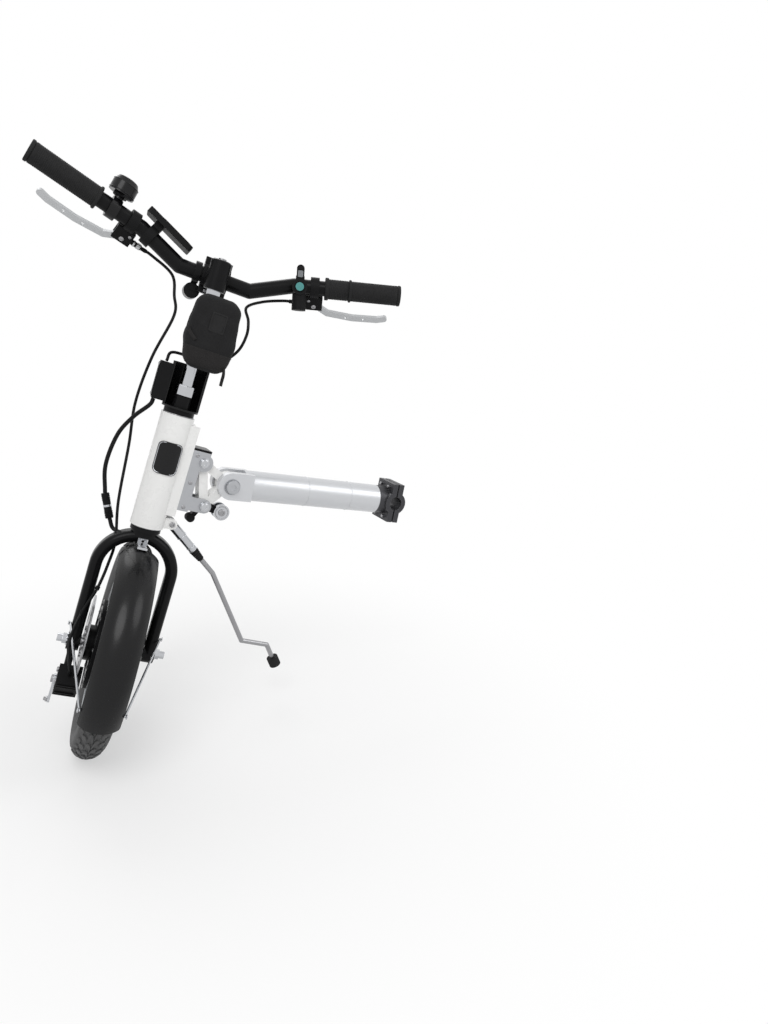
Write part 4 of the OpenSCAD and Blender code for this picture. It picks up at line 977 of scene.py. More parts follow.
@dataclass
class Stand(SubAssembly):
    """Fold-up stand: hinge, sleeve, ribbed boot, bent rod and rubber foot.

    Attributes:
        socket_len: Length of the sleeve from the hinge.
        boot_len: Length of the boot.
        boot_r: Radius of the boot's first rib.
        ribs: Number of the boot's ribs.
        rod_r: Radius inside the boot.
        lug_out: Distance of the hinge lugs' faces from the middle.
        sleeve_r: Radius of the sleeve's upper half.
        sleeve_end: Where the sleeve steps down.
    """

    socket_len: float = 66.0
    boot_len: float = 24.0
    boot_r: float = 8.0
    ribs: int = 6
    rod_r: float = 4.6
    lug_out: float = 13.0
    sleeve_r: float = 8.5
    sleeve_end: float = 33.0
    hinge_bolt: Screw = Screw(4.8, 2.4, 4.0)

    def finishes(self) -> dict[str, Finish]:
        """Finish of each CAD node that stays."""
        f = Finishes
        return {"stand_hinge": f.white, "stand_socket": f.chrome, "stand_rod": f.steel, "stand_foot": f.grip}

    def build(self) -> list[bpy.types.Object]:
        """Makes the ribbed boot, the hinge bolt's heads and the sleeve's rings.

        Returns:
            The new pieces.
        """
        step = self.boot_len / self.ribs
        profile = [(self.rod_r, 0.0)]
        for i in range(self.ribs):
            z, r = i * step, self.boot_r * (1 - 0.05 * i)
            profile += [(r - 0.5, z + 0.2), (r, z + 0.6), (r, z + step * 0.6), (r - 0.5, z + step * 0.66),
                        (r - 1.6, z + step * 0.72), (r - 1.6, z + step * 0.95)]
        profile.append((self.rod_r, self.boot_len))
        boot = Shape().revolve(profile, 36, move(0, 0, self.socket_len), closed=True)
        heads, rings = Shape(), Shape()
        for y in (self.lug_out, -self.lug_out):
            self.hinge_bolt.add_to(heads, side_face(-FRAMES.stand_back, y, FRAMES.stand_s))
        for z, r in ((self.sleeve_end - 0.8, self.sleeve_r), (self.socket_len - 1.0, self.sleeve_r - 1.0),
                     (self.socket_len - 8.0, self.sleeve_r - 1.0)):
            rings.ring(r + 0.1, 0.7, move(0, 0, z))
        return [boot.piece("ribbed_boot", FRAMES.stand(), Finishes.grip, "stand", ["stand_boot"]),
                heads.piece("stand_bolt", FRAMES.head(), Finishes.steel, "frame"),
                rings.piece("sleeve_rings", FRAMES.stand(), Finishes.chrome, "stand")]


@dataclass
class Fork(SubAssembly):
    """Fork, mudguard and caliper round the wheel.

    Attributes:
        stay_from: Where each stay starts, from the axle.
        stay_to: Where each stay ends, from the axle.
        foot: Place of the bracket's rivets, from the axle.
        caliper_face: Outer face of the caliper.
        arm_face: Outer face of the caliper's arm.
        arm_tip: End of the arm in the caliper's frame, as X and Z.
        bead: Radius of the guard's edge, its distance from the middle and the bead's own radius.
        bead_arc: First angle of the bead from straight up and its sweep, in degrees.
        caliper_bolts: Places of the caliper's bolts, as X and Z.
        fins: Heights of the caliper's fins.
    """

    stay_from: tuple[float, float, float] = (-7.0, 76.4, 31.0)
    stay_to: tuple[float, float, float] = (-175.4, 35.1, -37.3)
    foot: tuple[float, float, float] = (-46.0, 4.6, 195.6)
    caliper_face: float = 74.0
    arm_face: float = 78.5
    arm_tip: tuple[float, float] = (-17.0, -44.0)
    bead: tuple[float, float, float] = (179.6, 30.6, 1.5)
    bead_arc: tuple[float, float] = (13.4, 96.2)
    caliper_bolts: tuple[tuple[float, float], ...] = ((10.0, 15.0), (-10.0, 15.0), (11.0, -15.0))
    fins: tuple[float, ...] = (-17.0, -11.0, 11.0, 17.0)
    stay_screw: Screw = Screw(3.8, 2.0, 3.0)
    rivet: Screw = Screw(2.6, 1.4)
    caliper_bolt: Screw = Screw(4.2, 3.2, 4.0)
    arm_pivot: Screw = Screw(6.4, 3.6, 5.0)

    def finishes(self) -> dict[str, Finish]:
        """Finish of each CAD node that stays.

        Returns:
            The finishes by node name.
        """
        f = Finishes
        return {"fork": f.black, "mudguard": f.gloss, "mudguard_stays": f.chrome,
                "caliper_body": f.matte, "caliper_arm": f.chrome, "axle": f.steel, "axle_nuts": f.chrome}

    def build(self) -> list[bpy.types.Object]:
        """Makes the stays' screws, the bracket's rivets, the guard's beads and the caliper's small parts.

        Returns:
            The new pieces.
        """
        screws, beads = Shape(), Shape()
        hub = FRAMES.steer() @ move(0, 0, FRAMES.hub_s)
        (r, out, fat), (first, sweep) = self.bead, self.bead_arc
        for side in (1, -1):
            for x, y, s in (self.stay_from, self.stay_to):
                self.stay_screw.add_to(screws, side_face(x, side * y, s))
            self.rivet.add_to(screws, move(self.foot[0], side * self.foot[1], self.foot[2]))
            angles = [math.radians(first + sweep * i / 60) for i in range(61)]
            beads.tube([(-r * math.sin(a), side * out, r * math.cos(a)) for a in angles], fat, 10)
        return [screws.piece("guard_screws", hub, Finishes.chrome, "steered"),
                beads.piece("guard_beads", hub, Finishes.gloss, "steered", sharp=60)] + self.caliper()

    def caliper(self) -> list[bpy.types.Object]:
        """Makes the caliper's fins, bolts and the arm's pivot and cable clamp.

        Returns:
            The new pieces.
        """
        ribs, bolts, arm = Shape(), Shape(), Shape()
        for z in self.fins:
            ribs.slab(soft_rect(2.4, 30.0, 1.0), 0.0, 2.2, move(-17.0, 57.0, z) @ turn("Y", -90))
        for x, z in self.caliper_bolts:
            self.caliper_bolt.add_to(bolts, side_face(x, self.caliper_face, z))
        bolts.revolve([(9.6, 0.0), (9.6, 0.4), (9.0, 0.45), (2.0, 0.45)], 40, side_face(0, self.caliper_face, 0))
        self.arm_pivot.add_to(arm, side_face(0, self.arm_face, 0))
        at = side_face(self.arm_tip[0], self.arm_face, self.arm_tip[1])
        arm.slab(hexagon(8.0), 0.0, 3.2, at)
        arm.revolve([(3.0, 3.2), (3.0, 5.6), (2.4, 6.2), (0.5, 6.2)], 20, at)
        frame = FRAMES.caliper()
        return [ribs.piece("caliper_ribs", frame, Finishes.matte, "steered"),
                bolts.piece("caliper_bolts", frame, Finishes.steel, "steered"),
                arm.piece("caliper_arm_screws", frame, Finishes.steel, "caliper_lever")]


@dataclass
class Wheel(SubAssembly):
    """Hub-motor wheel with its tyre and brake disc.

    Attributes:
        outer: Radius over the tread.
        section: Radius of the tyre's section.
        groove: Depth of the tread's grooves.
        blocks: Tread blocks round each row.
        inner: Radius where the tyre meets the rim.
        cover: Distance of the covers' faces from the middle.
        rim_out: Distance of the rim's edges from the middle.
        tread: Outlines of the blocks on one side, as degrees along and across.
        cover_rings: Radii of the covers' rings.
        ridges: Radius and thickness of the rim's ridges.
    """

    outer: float = 187.0
    section: float = 27.0
    groove: float = 2.6
    blocks: int = 44
    inner: float = 141.0
    cover: float = 31.0
    rim_out: float = 18.0
    tread: tuple[tuple[tuple[float, float], ...], ...] = (
        ((0.0, 2.5), (3.1, 6.0), (5.0, 12.0), (6.0, 20.0), (6.9, 21.0), (8.3, 14.0), (7.6, 6.0), (4.4, 1.5),
         (1.6, 0.5)),
        ((0.4, 25.0), (3.0, 22.5), (4.6, 27.0), (5.0, 36.0), (4.4, 44.0), (1.4, 42.0), (0.6, 34.0)),
        ((4.9, 47.0), (6.9, 40.0), (7.8, 43.0), (7.6, 52.0), (6.6, 58.0), (4.6, 56.0)))
    cover_screw: Screw = Screw(3.2, 1.8, 2.6)
    cover_rings: tuple[float, ...] = (44.0, 58.0, 73.0)
    ridges: tuple[tuple[float, float], ...] = ((146.4, 1.1), (136.5, 0.9))

    def finishes(self) -> dict[str, Finish]:
        """Finish of each CAD node that stays.

        Returns:
            The finishes by node name.
        """
        f = Finishes
        return {"rim": f.wheel, "motor_covers": f.black, "hub_bearings": f.steel, "stator": f.core,
                "brake_disc": f.steel, "disc_bolts_set": f.steel}

    def on_tread(self, along: float, across: float, depth: float) -> tuple[float, float, float]:
        """Point of the tread.

        Args:
            along: Angle round the wheel, in degrees.
            across: Angle round the section from its crown, in degrees.
            depth: Depth below the tread's surface.

        Returns:
            The point in the wheel's frame.
        """
        a, c, r = math.radians(along), math.radians(across), self.section - depth
        reach = self.outer - self.section + r * math.cos(c)
        return reach * math.cos(a), reach * math.sin(a), r * math.sin(c)

    def carcass(self, shape: Shape) -> None:
        """Adds the tyre's body under the tread.

        Args:
            shape: Shape that gets it.
        """
        middle = self.outer - self.section
        section = []
        for i in range(41):
            c = math.radians(-135 + 270 * i / 40)
            share = min(1.0, max(0.0, (abs(math.degrees(c)) - 58) / 8))
            r = self.section - self.groove * (1 - share)
            if abs(abs(math.degrees(c)) - 88) < 4 or abs(abs(math.degrees(c)) - 115) < 4:
                r -= 0.5
            section.append((middle + r * math.cos(c), r * math.sin(c)))
        section += [(self.inner + 1.0, 17.0), (self.inner + 3.5, 14.0), (self.inner + 3.5, -14.0),
                    (self.inner + 1.0, -17.0)]
        shape.revolve(section, 160, closed=True)

    def block(self, shape: Shape, along: float, outline: Sequence[tuple[float, float]]) -> None:
        """Adds one tread block.

        Args:
            shape: Shape that gets it.
            along: Angle of the block round the wheel, in degrees.
            outline: Points of the block as angles along and across.
        """
        n = len(outline)
        ca = sum(p[0] for p in outline) / n
        cc = sum(p[1] for p in outline) / n
        rows = []
        for depth, share in ((self.groove + 0.8, 1.06), (0.35, 1.0), (0.0, 0.93)):
            rows.append([self.on_tread(along + ca + (a - ca) * share, cc + (c - cc) * share, depth)
                         for a, c in outline])
        shape.grid(rows, caps=False)
        top = [self.on_tread(along + ca + (a - ca) * 0.93, cc + (c - cc) * 0.93, 0.0) for a, c in outline]
        middle = self.on_tread(along + ca, cc, -0.05)
        shape.add(top + [middle], [(i, (i + 1) % n, n) for i in range(n)])

    def build(self) -> list[bpy.types.Object]:
        """Makes the tyre with its chevron tread, and the wheel's trim.

        Returns:
            The new pieces.
        """
        tyre = Shape()
        self.carcass(tyre)
        step = 360 / self.blocks
        for i in range(self.blocks):
            for side in (1, -1):
                start = i * step + (step / 2 if side < 0 else 0)
                for outline in self.tread:
                    self.block(tyre, start, [(a, c * side) for a, c in outline][::side])
        frame = FRAMES.axle()
        return [tyre.piece("tyre_with_tread", frame, Finishes.tyre, "wheel", ["tyre"], sharp=32)] + self.trim(frame)

    def trim(self, frame: Matrix) -> list[bpy.types.Object]:
        """Makes the covers' screws and rings, the rim's ridges and the valve.

        Args:
            frame: The wheel's frame.

        Returns:
            The new pieces.
        """
        screws, rings, ridges, valve = Shape(), Shape(), Shape(), Shape()
        for side in (1, -1):
            flip = turn("X", 0 if side > 0 else 180)
            for i in range(8):
                at = flip @ turn("Z", i * 45 + 12) @ move(68.0, 0, self.cover)
                self.cover_screw.add_to(screws, at)
            for r in self.cover_rings:
                rings.ring(r, 0.9, flip @ move(0, 0, self.cover), 96)
            for r, fat in self.ridges:
                ridges.ring(r, fat, flip @ move(0, 0, self.rim_out), 120)
        valve.revolve([(4.4, 0.0), (3.2, 3.0), (3.0, 14.0), (2.6, 14.4), (2.6, 20.0), (3.1, 20.4), (3.1, 27.0),
                       (2.0, 28.0), (0.5, 28.0)], 20, turn("Z", 30) @ move(133.2, 0, 11.5) @ turn("Y", -82))
        return [screws.piece("cover_screws", frame, Finishes.steel, "wheel"),
                rings.piece("cover_rings", frame, Finishes.black, "wheel"),
                ridges.piece("rim_ridges", frame, Finishes.wheel, "wheel"),
                valve.piece("valve_stem", frame, Finishes.grip, "wheel")]


@dataclass
class Cockpit(SubAssembly):
    """Stem, handlebar and everything clamped on it.

    Attributes:
        grip_r: Radius over the grips' fine rings.
        flange_r: Radius of the grips' flanges.
        rib: Pitch of the fine rings.
        bar_r: Radius inside the grips.
        bar_end: End of the bar, in its end's frame.
        cap: Thickness of the grips' end caps.
        left_len: Length of the left grip.
        right_len: Length of the right grip.
        throttle_len: Length of the twist grip.
        slip: Gap between the right grip and the twist grip.
        stem_bolt: Place of a stem screw from the bar's middle, the others mirrored.
        sleeve_top: Height of the stem's sleeve over the bar.
        nut: Radius, lower and upper height of the locknut.
        lever_out: Distance of a lever's pivot from the bar.
        lever_body_out: Distance of the lever body's faces from its middle.
        screen: Middle of the display's glass, in the rising stretch's frame.
        switch: Middle of the round button's seat, in the right bar end's frame.
        bell: Place along the bar and height of the bell's base.
    """

    grip_r: float = 17.0
    flange_r: float = 19.0
    rib: float = 2.6
    bar_r: float = 12.75
    bar_end: float = 182.0
    cap: float = 4.0
    left_len: float = 112.0
    right_len: float = 91.0
    throttle_len: float = 41.0
    slip: float = 0.5
    stem_bolt: tuple[float, float, float] = (12.0, 11.0, 25.2)
    sleeve_top: float = 23.0
    nut: tuple[float, float, float] = (17.0, 636.0, 654.0)
    lever_out: float = 33.0
    lever_body_out: float = 8.5
    screen: tuple[float, float, float] = (8.0, -35.0, 36.0)
    switch: tuple[float, float, float] = (-28.0, 4.0, 10.0)
    bell: tuple[float, float] = (50.0, 24.7)
    stem_socket: Screw = Screw(4.1, 1.0, 3.6)
    column_screw: Screw = Screw(6.4, 4.0, 5.0)
    lever_pivot: Screw = Screw(4.0, 1.5, 3.0)
    lever_screw: Screw = Screw(2.6, 1.4, 2.0)

    def finishes(self) -> dict[str, Finish]:
        """Finish of each CAD node that stays.

        Returns:
            The finishes by node name.
        """
        f = Finishes
        return {"stem_column": f.chrome, "stem_body": f.black, "stem_faceplate": f.black, "stem_bolts": f.steel,
                "handlebar": f.black, "lever_bodies": f.matte, "brake_lever_left": f.lever,
                "brake_lever_right": f.lever, "display_case": f.matte, "display_bracket": f.matte,
                "display_button": f.key, "bell_body": f.gloss, "bell_lever": f.matte, "switch_housing": f.matte,
                "horn_button": f.teal}

    def ribbed(self, start: float, length: float) -> list[tuple[float, float]]:
        """Profile of a sleeve with fine rings.

        Args:
            start: Height of its inner end.
            length: Its length.

        Returns:
            Radius and height of each point.
        """
        rib, radius = self.rib, self.grip_r
        count = int(length / rib)
        made = []
        for i in range(count):
            z = start + length * i / count
            made += [(radius - 0.5, z + rib * 0.1), (radius, z + rib * 0.3), (radius, z + rib * 0.75),
                     (radius - 0.5, z + rib * 0.92)]
        return made

    def grip(self, length: float) -> list[tuple[float, float]]:
        """Profile of a grip with its flange and end cap.

        Args:
            length: Length of the grip.

        Returns:
            Radius and height of each point.
        """
        end = self.bar_end + self.cap
        start = end - length
        r, flange = self.grip_r, self.flange_r
        made = [(self.bar_r, start), (flange - 0.8, start), (flange, start + 0.8), (flange, start + 3.2),
                (flange - 0.8, start + 4.0), (r, start + 4.6)]
        made += self.ribbed(start + 6, length - 18)
        made += [(r, end - 11), (r, end - 6.5), (r - 1.0, end - 6.2), (r - 1.0, end - 5.6), (r, end - 5.2),
                 (r + 0.6, end - 4.4), (r + 0.6, end - 1.2), (r - 0.4, end - 0.1), (r * 0.6, end), (1.0, end),
                 (1.0, self.bar_end + 0.2), (self.bar_r, self.bar_end + 0.2)]
        return made

    def build(self) -> list[bpy.types.Object]:
        """Makes the ribbed grips, the twist grip and the trim of all that is clamped on the bar.

        Returns:
            The new pieces.
        """
        grips = Shape()
        row = FRAMES.row().inverted()
        for side, length in ((Side.LEFT, self.left_len), (Side.RIGHT, self.right_len)):
            grips.revolve(self.grip(length), 40, row @ FRAMES.bar(side), closed=True)
        low = self.bar_end + self.cap - self.right_len - self.slip - self.throttle_len
        high = low + self.throttle_len
        r, flange = self.grip_r, self.flange_r
        profile = [(self.bar_r, low), (flange - 0.6, low), (flange, low + 0.6), (flange, low + 5),
                   (flange - 0.6, low + 6), (r, low + 6.6)]
        profile += self.ribbed(low + 8, self.throttle_len - 10) + [(r - 0.5, high), (self.bar_r, high)]
        twist, end = Shape().revolve(profile, 40, closed=True), FRAMES.bar(Side.RIGHT)
        made = [grips.piece("ribbed_grips", FRAMES.row(), Finishes.grip, "steered", ["bar_grips"], sharp=60),
                twist.piece("ribbed_throttle", end, Finishes.grip, "throttle", ["throttle"], sharp=60)]
        return made + self.stem() + self.levers() + self.display() + self.switches()

    def stem(self) -> list[bpy.types.Object]:
        """Makes the sockets of the stem's screws, the cap over the column and the locknut with its eight flats.

        Returns:
            The new pieces.
        """
        heads, cap, nut = Shape(), Shape(), Shape()
        for y in (self.stem_bolt[1], -self.stem_bolt[1]):
            for up in (self.stem_bolt[2], -self.stem_bolt[2]):
                at = move(FRAMES.stem_reach + self.stem_bolt[0], y, FRAMES.bar_s + up) @ turn("Y", 90)
                self.stem_socket.add_to(heads, at)
        top = FRAMES.bar_s + self.sleeve_top
        cap.revolve([(16.4, 0.0), (16.4, 1.2), (14.0, 3.0), (8.0, 3.6), (7.6, 2.6), (1.0, 2.6)], 40, move(0, 0, top))
        self.column_screw.add_to(heads, move(0, 0, top + 2.4))
        r, low, high = self.nut
        flats = [(r * math.cos(math.pi * i / 4), r * math.sin(math.pi * i / 4)) for i in range(8)]
        nut.slab(flats, low, high, ease=1.2)
        return [heads.piece("stem_sockets", FRAMES.steer(), Finishes.steel, "steered"),
                nut.piece("locknut_flats", FRAMES.steer(), Finishes.chrome, "steered", ["locknut"], sharp=20),
                cap.piece("stem_cap", FRAMES.steer(), Finishes.black, "steered")]

    def levers(self) -> list[bpy.types.Object]:
        """Makes the levers' pivot screws and the cable adjusters' knurled barrels.

        Returns:
            The new pieces.
        """
        pivots, barrels = Shape(), Shape()
        row = FRAMES.row().inverted()
        waves = [(5.3 if i % 2 else 4.9, math.pi * i / 14) for i in range(28)]
        knurl = [(r * math.cos(a), r * math.sin(a)) for r, a in waves]
        for side in Side:
            frame = row @ FRAMES.lever(side)
            for y in (self.lever_body_out, -self.lever_body_out):
                self.lever_pivot.add_to(pivots, frame @ side_face(self.lever_out, y, 0))
                self.lever_screw.add_to(pivots, frame @ side_face(22.0, y, -9.0))
            at = frame @ move(self.lever_out)
            barrels.slab(knurl, -31.5, -25.0, at)
            barrels.revolve([(5.6, -21.5), (5.6, -19.0), (4.6, -18.6), (4.6, -21.9)], 24, at, closed=True)
        return [pivots.piece("lever_screws", FRAMES.row(), Finishes.steel, "steered"),
                barrels.piece("cable_adjusters", FRAMES.row(), Finishes.lever, "steered")]

    def display(self) -> list[bpy.types.Object]:
        """Makes the display's dark glass with its bezel, and the rim round its key.

        Returns:
            The new pieces.
        """
        glass, bezel = Shape(), Shape()
        x, y, z = self.screen
        at = move(x, y, z) @ turn("X", 90)
        glass.slab(soft_rect(44.0, 52.0, 4.0), -0.3, 0.7, at, 0.3)
        bezel.tube([(u, v, 0.2) for u, v in soft_rect(47.0, 55.0, 5.0)], 0.9, 8, at, closed=True)
        bezel.ring(7.0, 0.7, move(x, y, z + 38.7) @ turn("X", 90), 32)
        return [glass.piece("display_glass", FRAMES.rise(), Finishes.glass, "steered"),
                bezel.piece("display_bezel", FRAMES.rise(), Finishes.matte, "steered")]

    def switches(self) -> list[bpy.types.Object]:
        """Makes the switch box's slider and ring, and the bell's bands and crown.

        Returns:
            The new pieces.
        """
        slider, ring, band = Shape(), Shape(), Shape()
        x, y, z = self.switch
        slider.slab(soft_rect(9.0, 11.0, 2.0), -0.4, 2.4, move(x, y - 21.0, z) @ turn("Y", -90))
        ring.ring(8.8, 0.9, move(x, y, z) @ turn("Y", -90), 40, 10)
        base = move(0, -self.bell[1], self.bell[0]) @ turn("X", 90)
        band.ring(20.0, 0.7, base @ move(0, 0, 3.0), 56)
        band.ring(19.9, 0.6, base @ move(0, 0, 17.5), 56)
        band.revolve([(16.0, 24.8), (14.5, 25.9), (10.0, 27.2), (4.6, 27.9), (0.6, 28.0)], 48, base)
        return [slider.piece("switch_slider", FRAMES.bar(Side.RIGHT), Finishes.key, "steered"),
                ring.piece("button_ring", FRAMES.bar(Side.RIGHT), Finishes.matte, "steered"),
                band.piece("bell_crown", FRAMES.bar(Side.LEFT), Finishes.gloss, "steered", sharp=50)]


@dataclass
class Power(SubAssembly):
    """Controller box, the shell behind it, the lamp and the motor's plug.

    Attributes:
        lamp: Middle of the lamp's front face, in the steered frame.
        box: Outer face of the controller box: its X range, Y and height range.
        plug: Ends of the motor's plug, from the motor cable's route.
        plug_ribs: Places of the plug's ribs from each of its ends.
    """

    lamp: tuple[float, float, float] = (98.7, 30.0, 807.0)
    box: tuple[float, float, float, float, float] = (-12.0, 24.0, 49.0, 619.5, 681.5)
    plug: tuple[Point, Point] = ((50, 76, 436.5), (46, 58, 396))
    plug_ribs: tuple[float, ...] = (3.0, 6.0, 9.0, 12.0)
    lid_screw: Screw = Screw(2.2, 1.0, 1.8)

    def finishes(self) -> dict[str, Finish]:
        """Finish of each CAD node that stays."""
        f = Finishes
        return {"controller_box": f.matte, "column_shroud": f.gloss, "headlamp": f.black, "motor_connector": f.matte}

    def build(self) -> list[bpy.types.Object]:
        """Makes the lamp's lens and bezel, the box's lid and screws, and the plug's ribs and ring.

        Returns:
            The new pieces.
        """
        lens, bezel, lid, screws, ribs, ring = (Shape() for _ in range(6))
        at = move(*self.lamp) @ turn("Y", 90)
        rim = [(13.2, -4.0), (13.4, -3.4), (13.4, 0.6), (12.6, 1.4), (11.4, 1.4), (11.0, 0.2), (11.0, -4.0)]
        bezel.revolve(rim, 48, at, closed=True)
        lens.revolve([(11.0, 0.1), (9.0, 1.2), (5.0, 2.2), (0.6, 2.5)], 40, at)
        x0, x1, y, s0, s1 = self.box
        face = move((x0 + x1) / 2, y, (s0 + s1) / 2) @ turn("X", -90)
        lid.slab(soft_rect(x1 - x0 - 5, s1 - s0 - 5, 4.0), -0.2, 1.4, face, 0.7)
        for x in (x0 + 6, x1 - 6):
            for s in (s0 + 6, s1 - 6):
                self.lid_screw.add_to(screws, side_face(x, y + 1.2, s))
        way = aim(*self.plug)
        length = (Vector(self.plug[1]) - Vector(self.plug[0])).length
        for z in self.plug_ribs:
            ribs.ring(6.5, 0.7, way @ move(0, 0, z), 32)
            ribs.ring(6.5, 0.7, way @ move(0, 0, length - z), 32)
        middle = way @ move(0, 0, length / 2)
        ring.revolve([(5.6, -2.2), (6.9, -1.8), (6.9, 1.8), (5.6, 2.2)], 36, middle, closed=True)
        frame = FRAMES.steer()
        return [lens.piece("lamp_lens", frame, Finishes.lens, "steered", sharp=60),
                bezel.piece("lamp_bezel", frame, Finishes.chrome, "steered"),
                lid.piece("box_lid", frame, Finishes.matte, "steered"),
                screws.piece("box_screws", frame, Finishes.steel, "steered"),
                ribs.piece("plug_ribs", frame, Finishes.matte, "steered"),
                ring.piece("plug_ring", frame, Finishes.chrome, "steered")]


@dataclass
class Pouch(SubAssembly):
    """Soft pouch strapped behind the column, swelled as cloth.

    Attributes:
        radius: Half of its depth.
        width: Width across.
        height: Height.
        low: Height of its lower edge along the steering axis.
        middle: Place of its middle along X and Y.
        ribs: Corners of its outline as shares of the half width and the height.
        voxel: Size of the cloth's mesh.
        frames: Frames that the cloth simulation runs.
        stray: How far the simulation may move a point.
        pressure: Pressure that swells the cloth.
        mass: Mass of each point of the cloth.
        bending: Stiffness of the cloth in bending.
        seam: Shift of the zip's seam along X, its width and how far it is pulled in.
        fold: How deep the slack folds are.
        band_rows: Height of each row of the band and how far it stands off the skin.
        patch_at: Middle of the patch, from the pouch's middle and along the steering axis.
        straps_s: Heights of the straps.
        strap_r: Radius inside the straps.
    """

    radius: float = 21.0
    width: float = 86.0
    height: float = 122.0
    low: float = 684.0
    middle: tuple[float, float] = (-32.4, -13.0)
    ribs: tuple[tuple[float, float], ...] = (
        (0.7, 0.0), (1.0, 0.35), (0.8, 1.0), (-0.75, 1.0), (-1.0, 0.35), (-0.75, 0.0))
    voxel: float = 4.5
    frames: int = 16
    stray: float = 2.5
    pressure: float = 4.0
    mass: float = 0.2
    bending: float = 0.3
    seam: tuple[float, float, float] = (4.0, 2.2, 1.1)
    fold: float = 0.55
    band_rows: tuple[tuple[float, float], ...] = (
        (691, 0.2), (692, 1.0), (700, 1.2), (708, 1.25), (715, 1.2), (716.5, 1.7), (718, 1.7), (718.6, 0.2),
        (718.0, -0.8), (705.0, -0.8), (691.5, -0.8))
    patch_at: tuple[float, float] = (-3.0, 764.0)
    straps_s: tuple[float, ...] = (706.0, 778.0)
    strap_r: float = 12.2

    def form(self) -> bpy.types.Object:
        """Makes the pouch's starting form, a little smaller than the solid that it stands for.

        Returns:
            The object, in metres of the row frame.
        """
        shape = Shape()
        r = self.radius - 1.6
        for y, s in self.ribs:
            centre = (self.middle[0], self.middle[1] + y * (self.width / 2 - self.radius),
                      self.low + self.radius + s * (self.height - self.radius * 2))
            profile = [(r * math.cos(math.radians(t)), r * math.sin(math.radians(t))) for t in range(-84, 85, 12)]
            shape.revolve(profile, 28, Matrix.Translation(centre))
        mesh = bpy.data.meshes.new("pouch_soft")
        work = bmesh.new()
        for v in shape.verts:
            work.verts.new(FRAMES.steer() @ Vector(v))
        hull = bmesh.ops.convex_hull(work, input=work.verts)
        bmesh.ops.delete(work, geom=list({*hull["geom_interior"], *hull["geom_unused"]}), context="VERTS")
        work.to_mesh(mesh)
        work.free()
        made = bpy.data.objects.new("pouch_soft", mesh)
        bpy.context.scene.collection.objects.link(made)
        return made

    def swell(self, made: bpy.types.Object) -> None:
        """Remeshes the form and lets pressure swell it as cloth, within a limit.

        Args:
            made: The form, which becomes the pouch.
        """
        bpy.context.view_layer.objects.active = made
        remesh = made.modifiers.new("remesh", "REMESH")
        remesh.mode = "VOXEL"
        remesh.voxel_size = self.voxel * MM
        self._apply(made)
        rest = [v.co.copy() for v in made.data.vertices]
        cloth = made.modifiers.new("cloth", "CLOTH")
        cloth.settings.use_pressure = True
        cloth.settings.uniform_pressure_force = self.pressure
        cloth.settings.effector_weights.gravity = 0.0
        cloth.settings.mass = self.mass
        cloth.settings.bending_stiffness = self.bending
        cloth.point_cache.frame_start, cloth.point_cache.frame_end = 1, self.frames
        for f in range(1, self.frames + 1):
            bpy.context.scene.frame_set(f)
        self._apply(made)
        for v, was in zip(made.data.vertices, rest):
            shift = v.co - was
            if shift.length > self.stray * MM:
                v.co = was + shift.normalized() * self.stray * MM
        bpy.context.scene.frame_set(1)
        self._crease(made)
        made.data.shade_smooth()

    def _crease(self, made: bpy.types.Object) -> None:
        """Pulls the zip's seam in and dents the sides, as slack cloth does.

        Args:
            made: The swelled pouch.
        """
        back, into = FRAMES.steer(), FRAMES.steer().inverted()
        shift, spread, pull = self.seam
        for v in made.data.vertices:
            p = into @ v.co
            seam = math.exp(-((p.x - self.middle[0] - shift) / spread) ** 2)
            edge = abs(p.y - self.middle[1]) / (self.width / 2)
            fold = math.sin(p.z * 0.16 + p.y * 0.11) * math.sin(p.y * 0.19 - p.z * 0.07)
            inward = Vector((self.middle[0] - p.x, (self.middle[1] - p.y) * 0.4, 0)).normalized()
            p = p + inward * (seam * pull * min(1.0, edge * 1.3) + fold * self.fold)
            v.co = back @ p

    @staticmethod
    def _apply(made: bpy.types.Object) -> None:
        """Replaces the object's mesh by its modified one and drops the modifiers.

        Args:
            made: The object.
        """
        seen = made.evaluated_get(bpy.context.evaluated_depsgraph_get())
        mesh = bpy.data.meshes.new_from_object(seen)
        made.modifiers.clear()
        made.data = mesh

    def touch(self, tree: BVHTree, y: float, s: float) -> Vector:
        """Point of the pouch's skin seen along X from the rider's side.

        Args:
            tree: The pouch's faces in its own steered frame, in millimetres.
            y: Place across.
            s: Height along the steering axis.

        Returns:
            The point, in millimetres of the steered frame.
        """
        hit = tree.ray_cast(Vector((-200.0, y, s)), Vector((1.0, 0, 0)))[0]
        return hit if hit is not None else Vector((self.middle[0], y, s))

    def round_skin(self, tree: BVHTree, s: float, proud: float, count: int = 56) -> list[Vector]:
        """Points round the pouch at one height.

        Args:
            tree: The pouch's faces in its own steered frame, in millimetres.
            s: Height along the steering axis.
            proud: How far the points stand off the skin.
            count: Number of points.

        Returns:
            The points, in millimetres of the steered frame.
        """
        made = []
        for i in range(count):
            a = 2 * math.pi * i / count
            way = Vector((math.cos(a) * 0.6, math.sin(a), 0)).normalized()
            start = Vector((self.middle[0], self.middle[1], s)) + way * 120
            hit = tree.ray_cast(start, -way)[0]
            made.append((hit if hit is not None else start - way * 90) + way * proud)
        return made

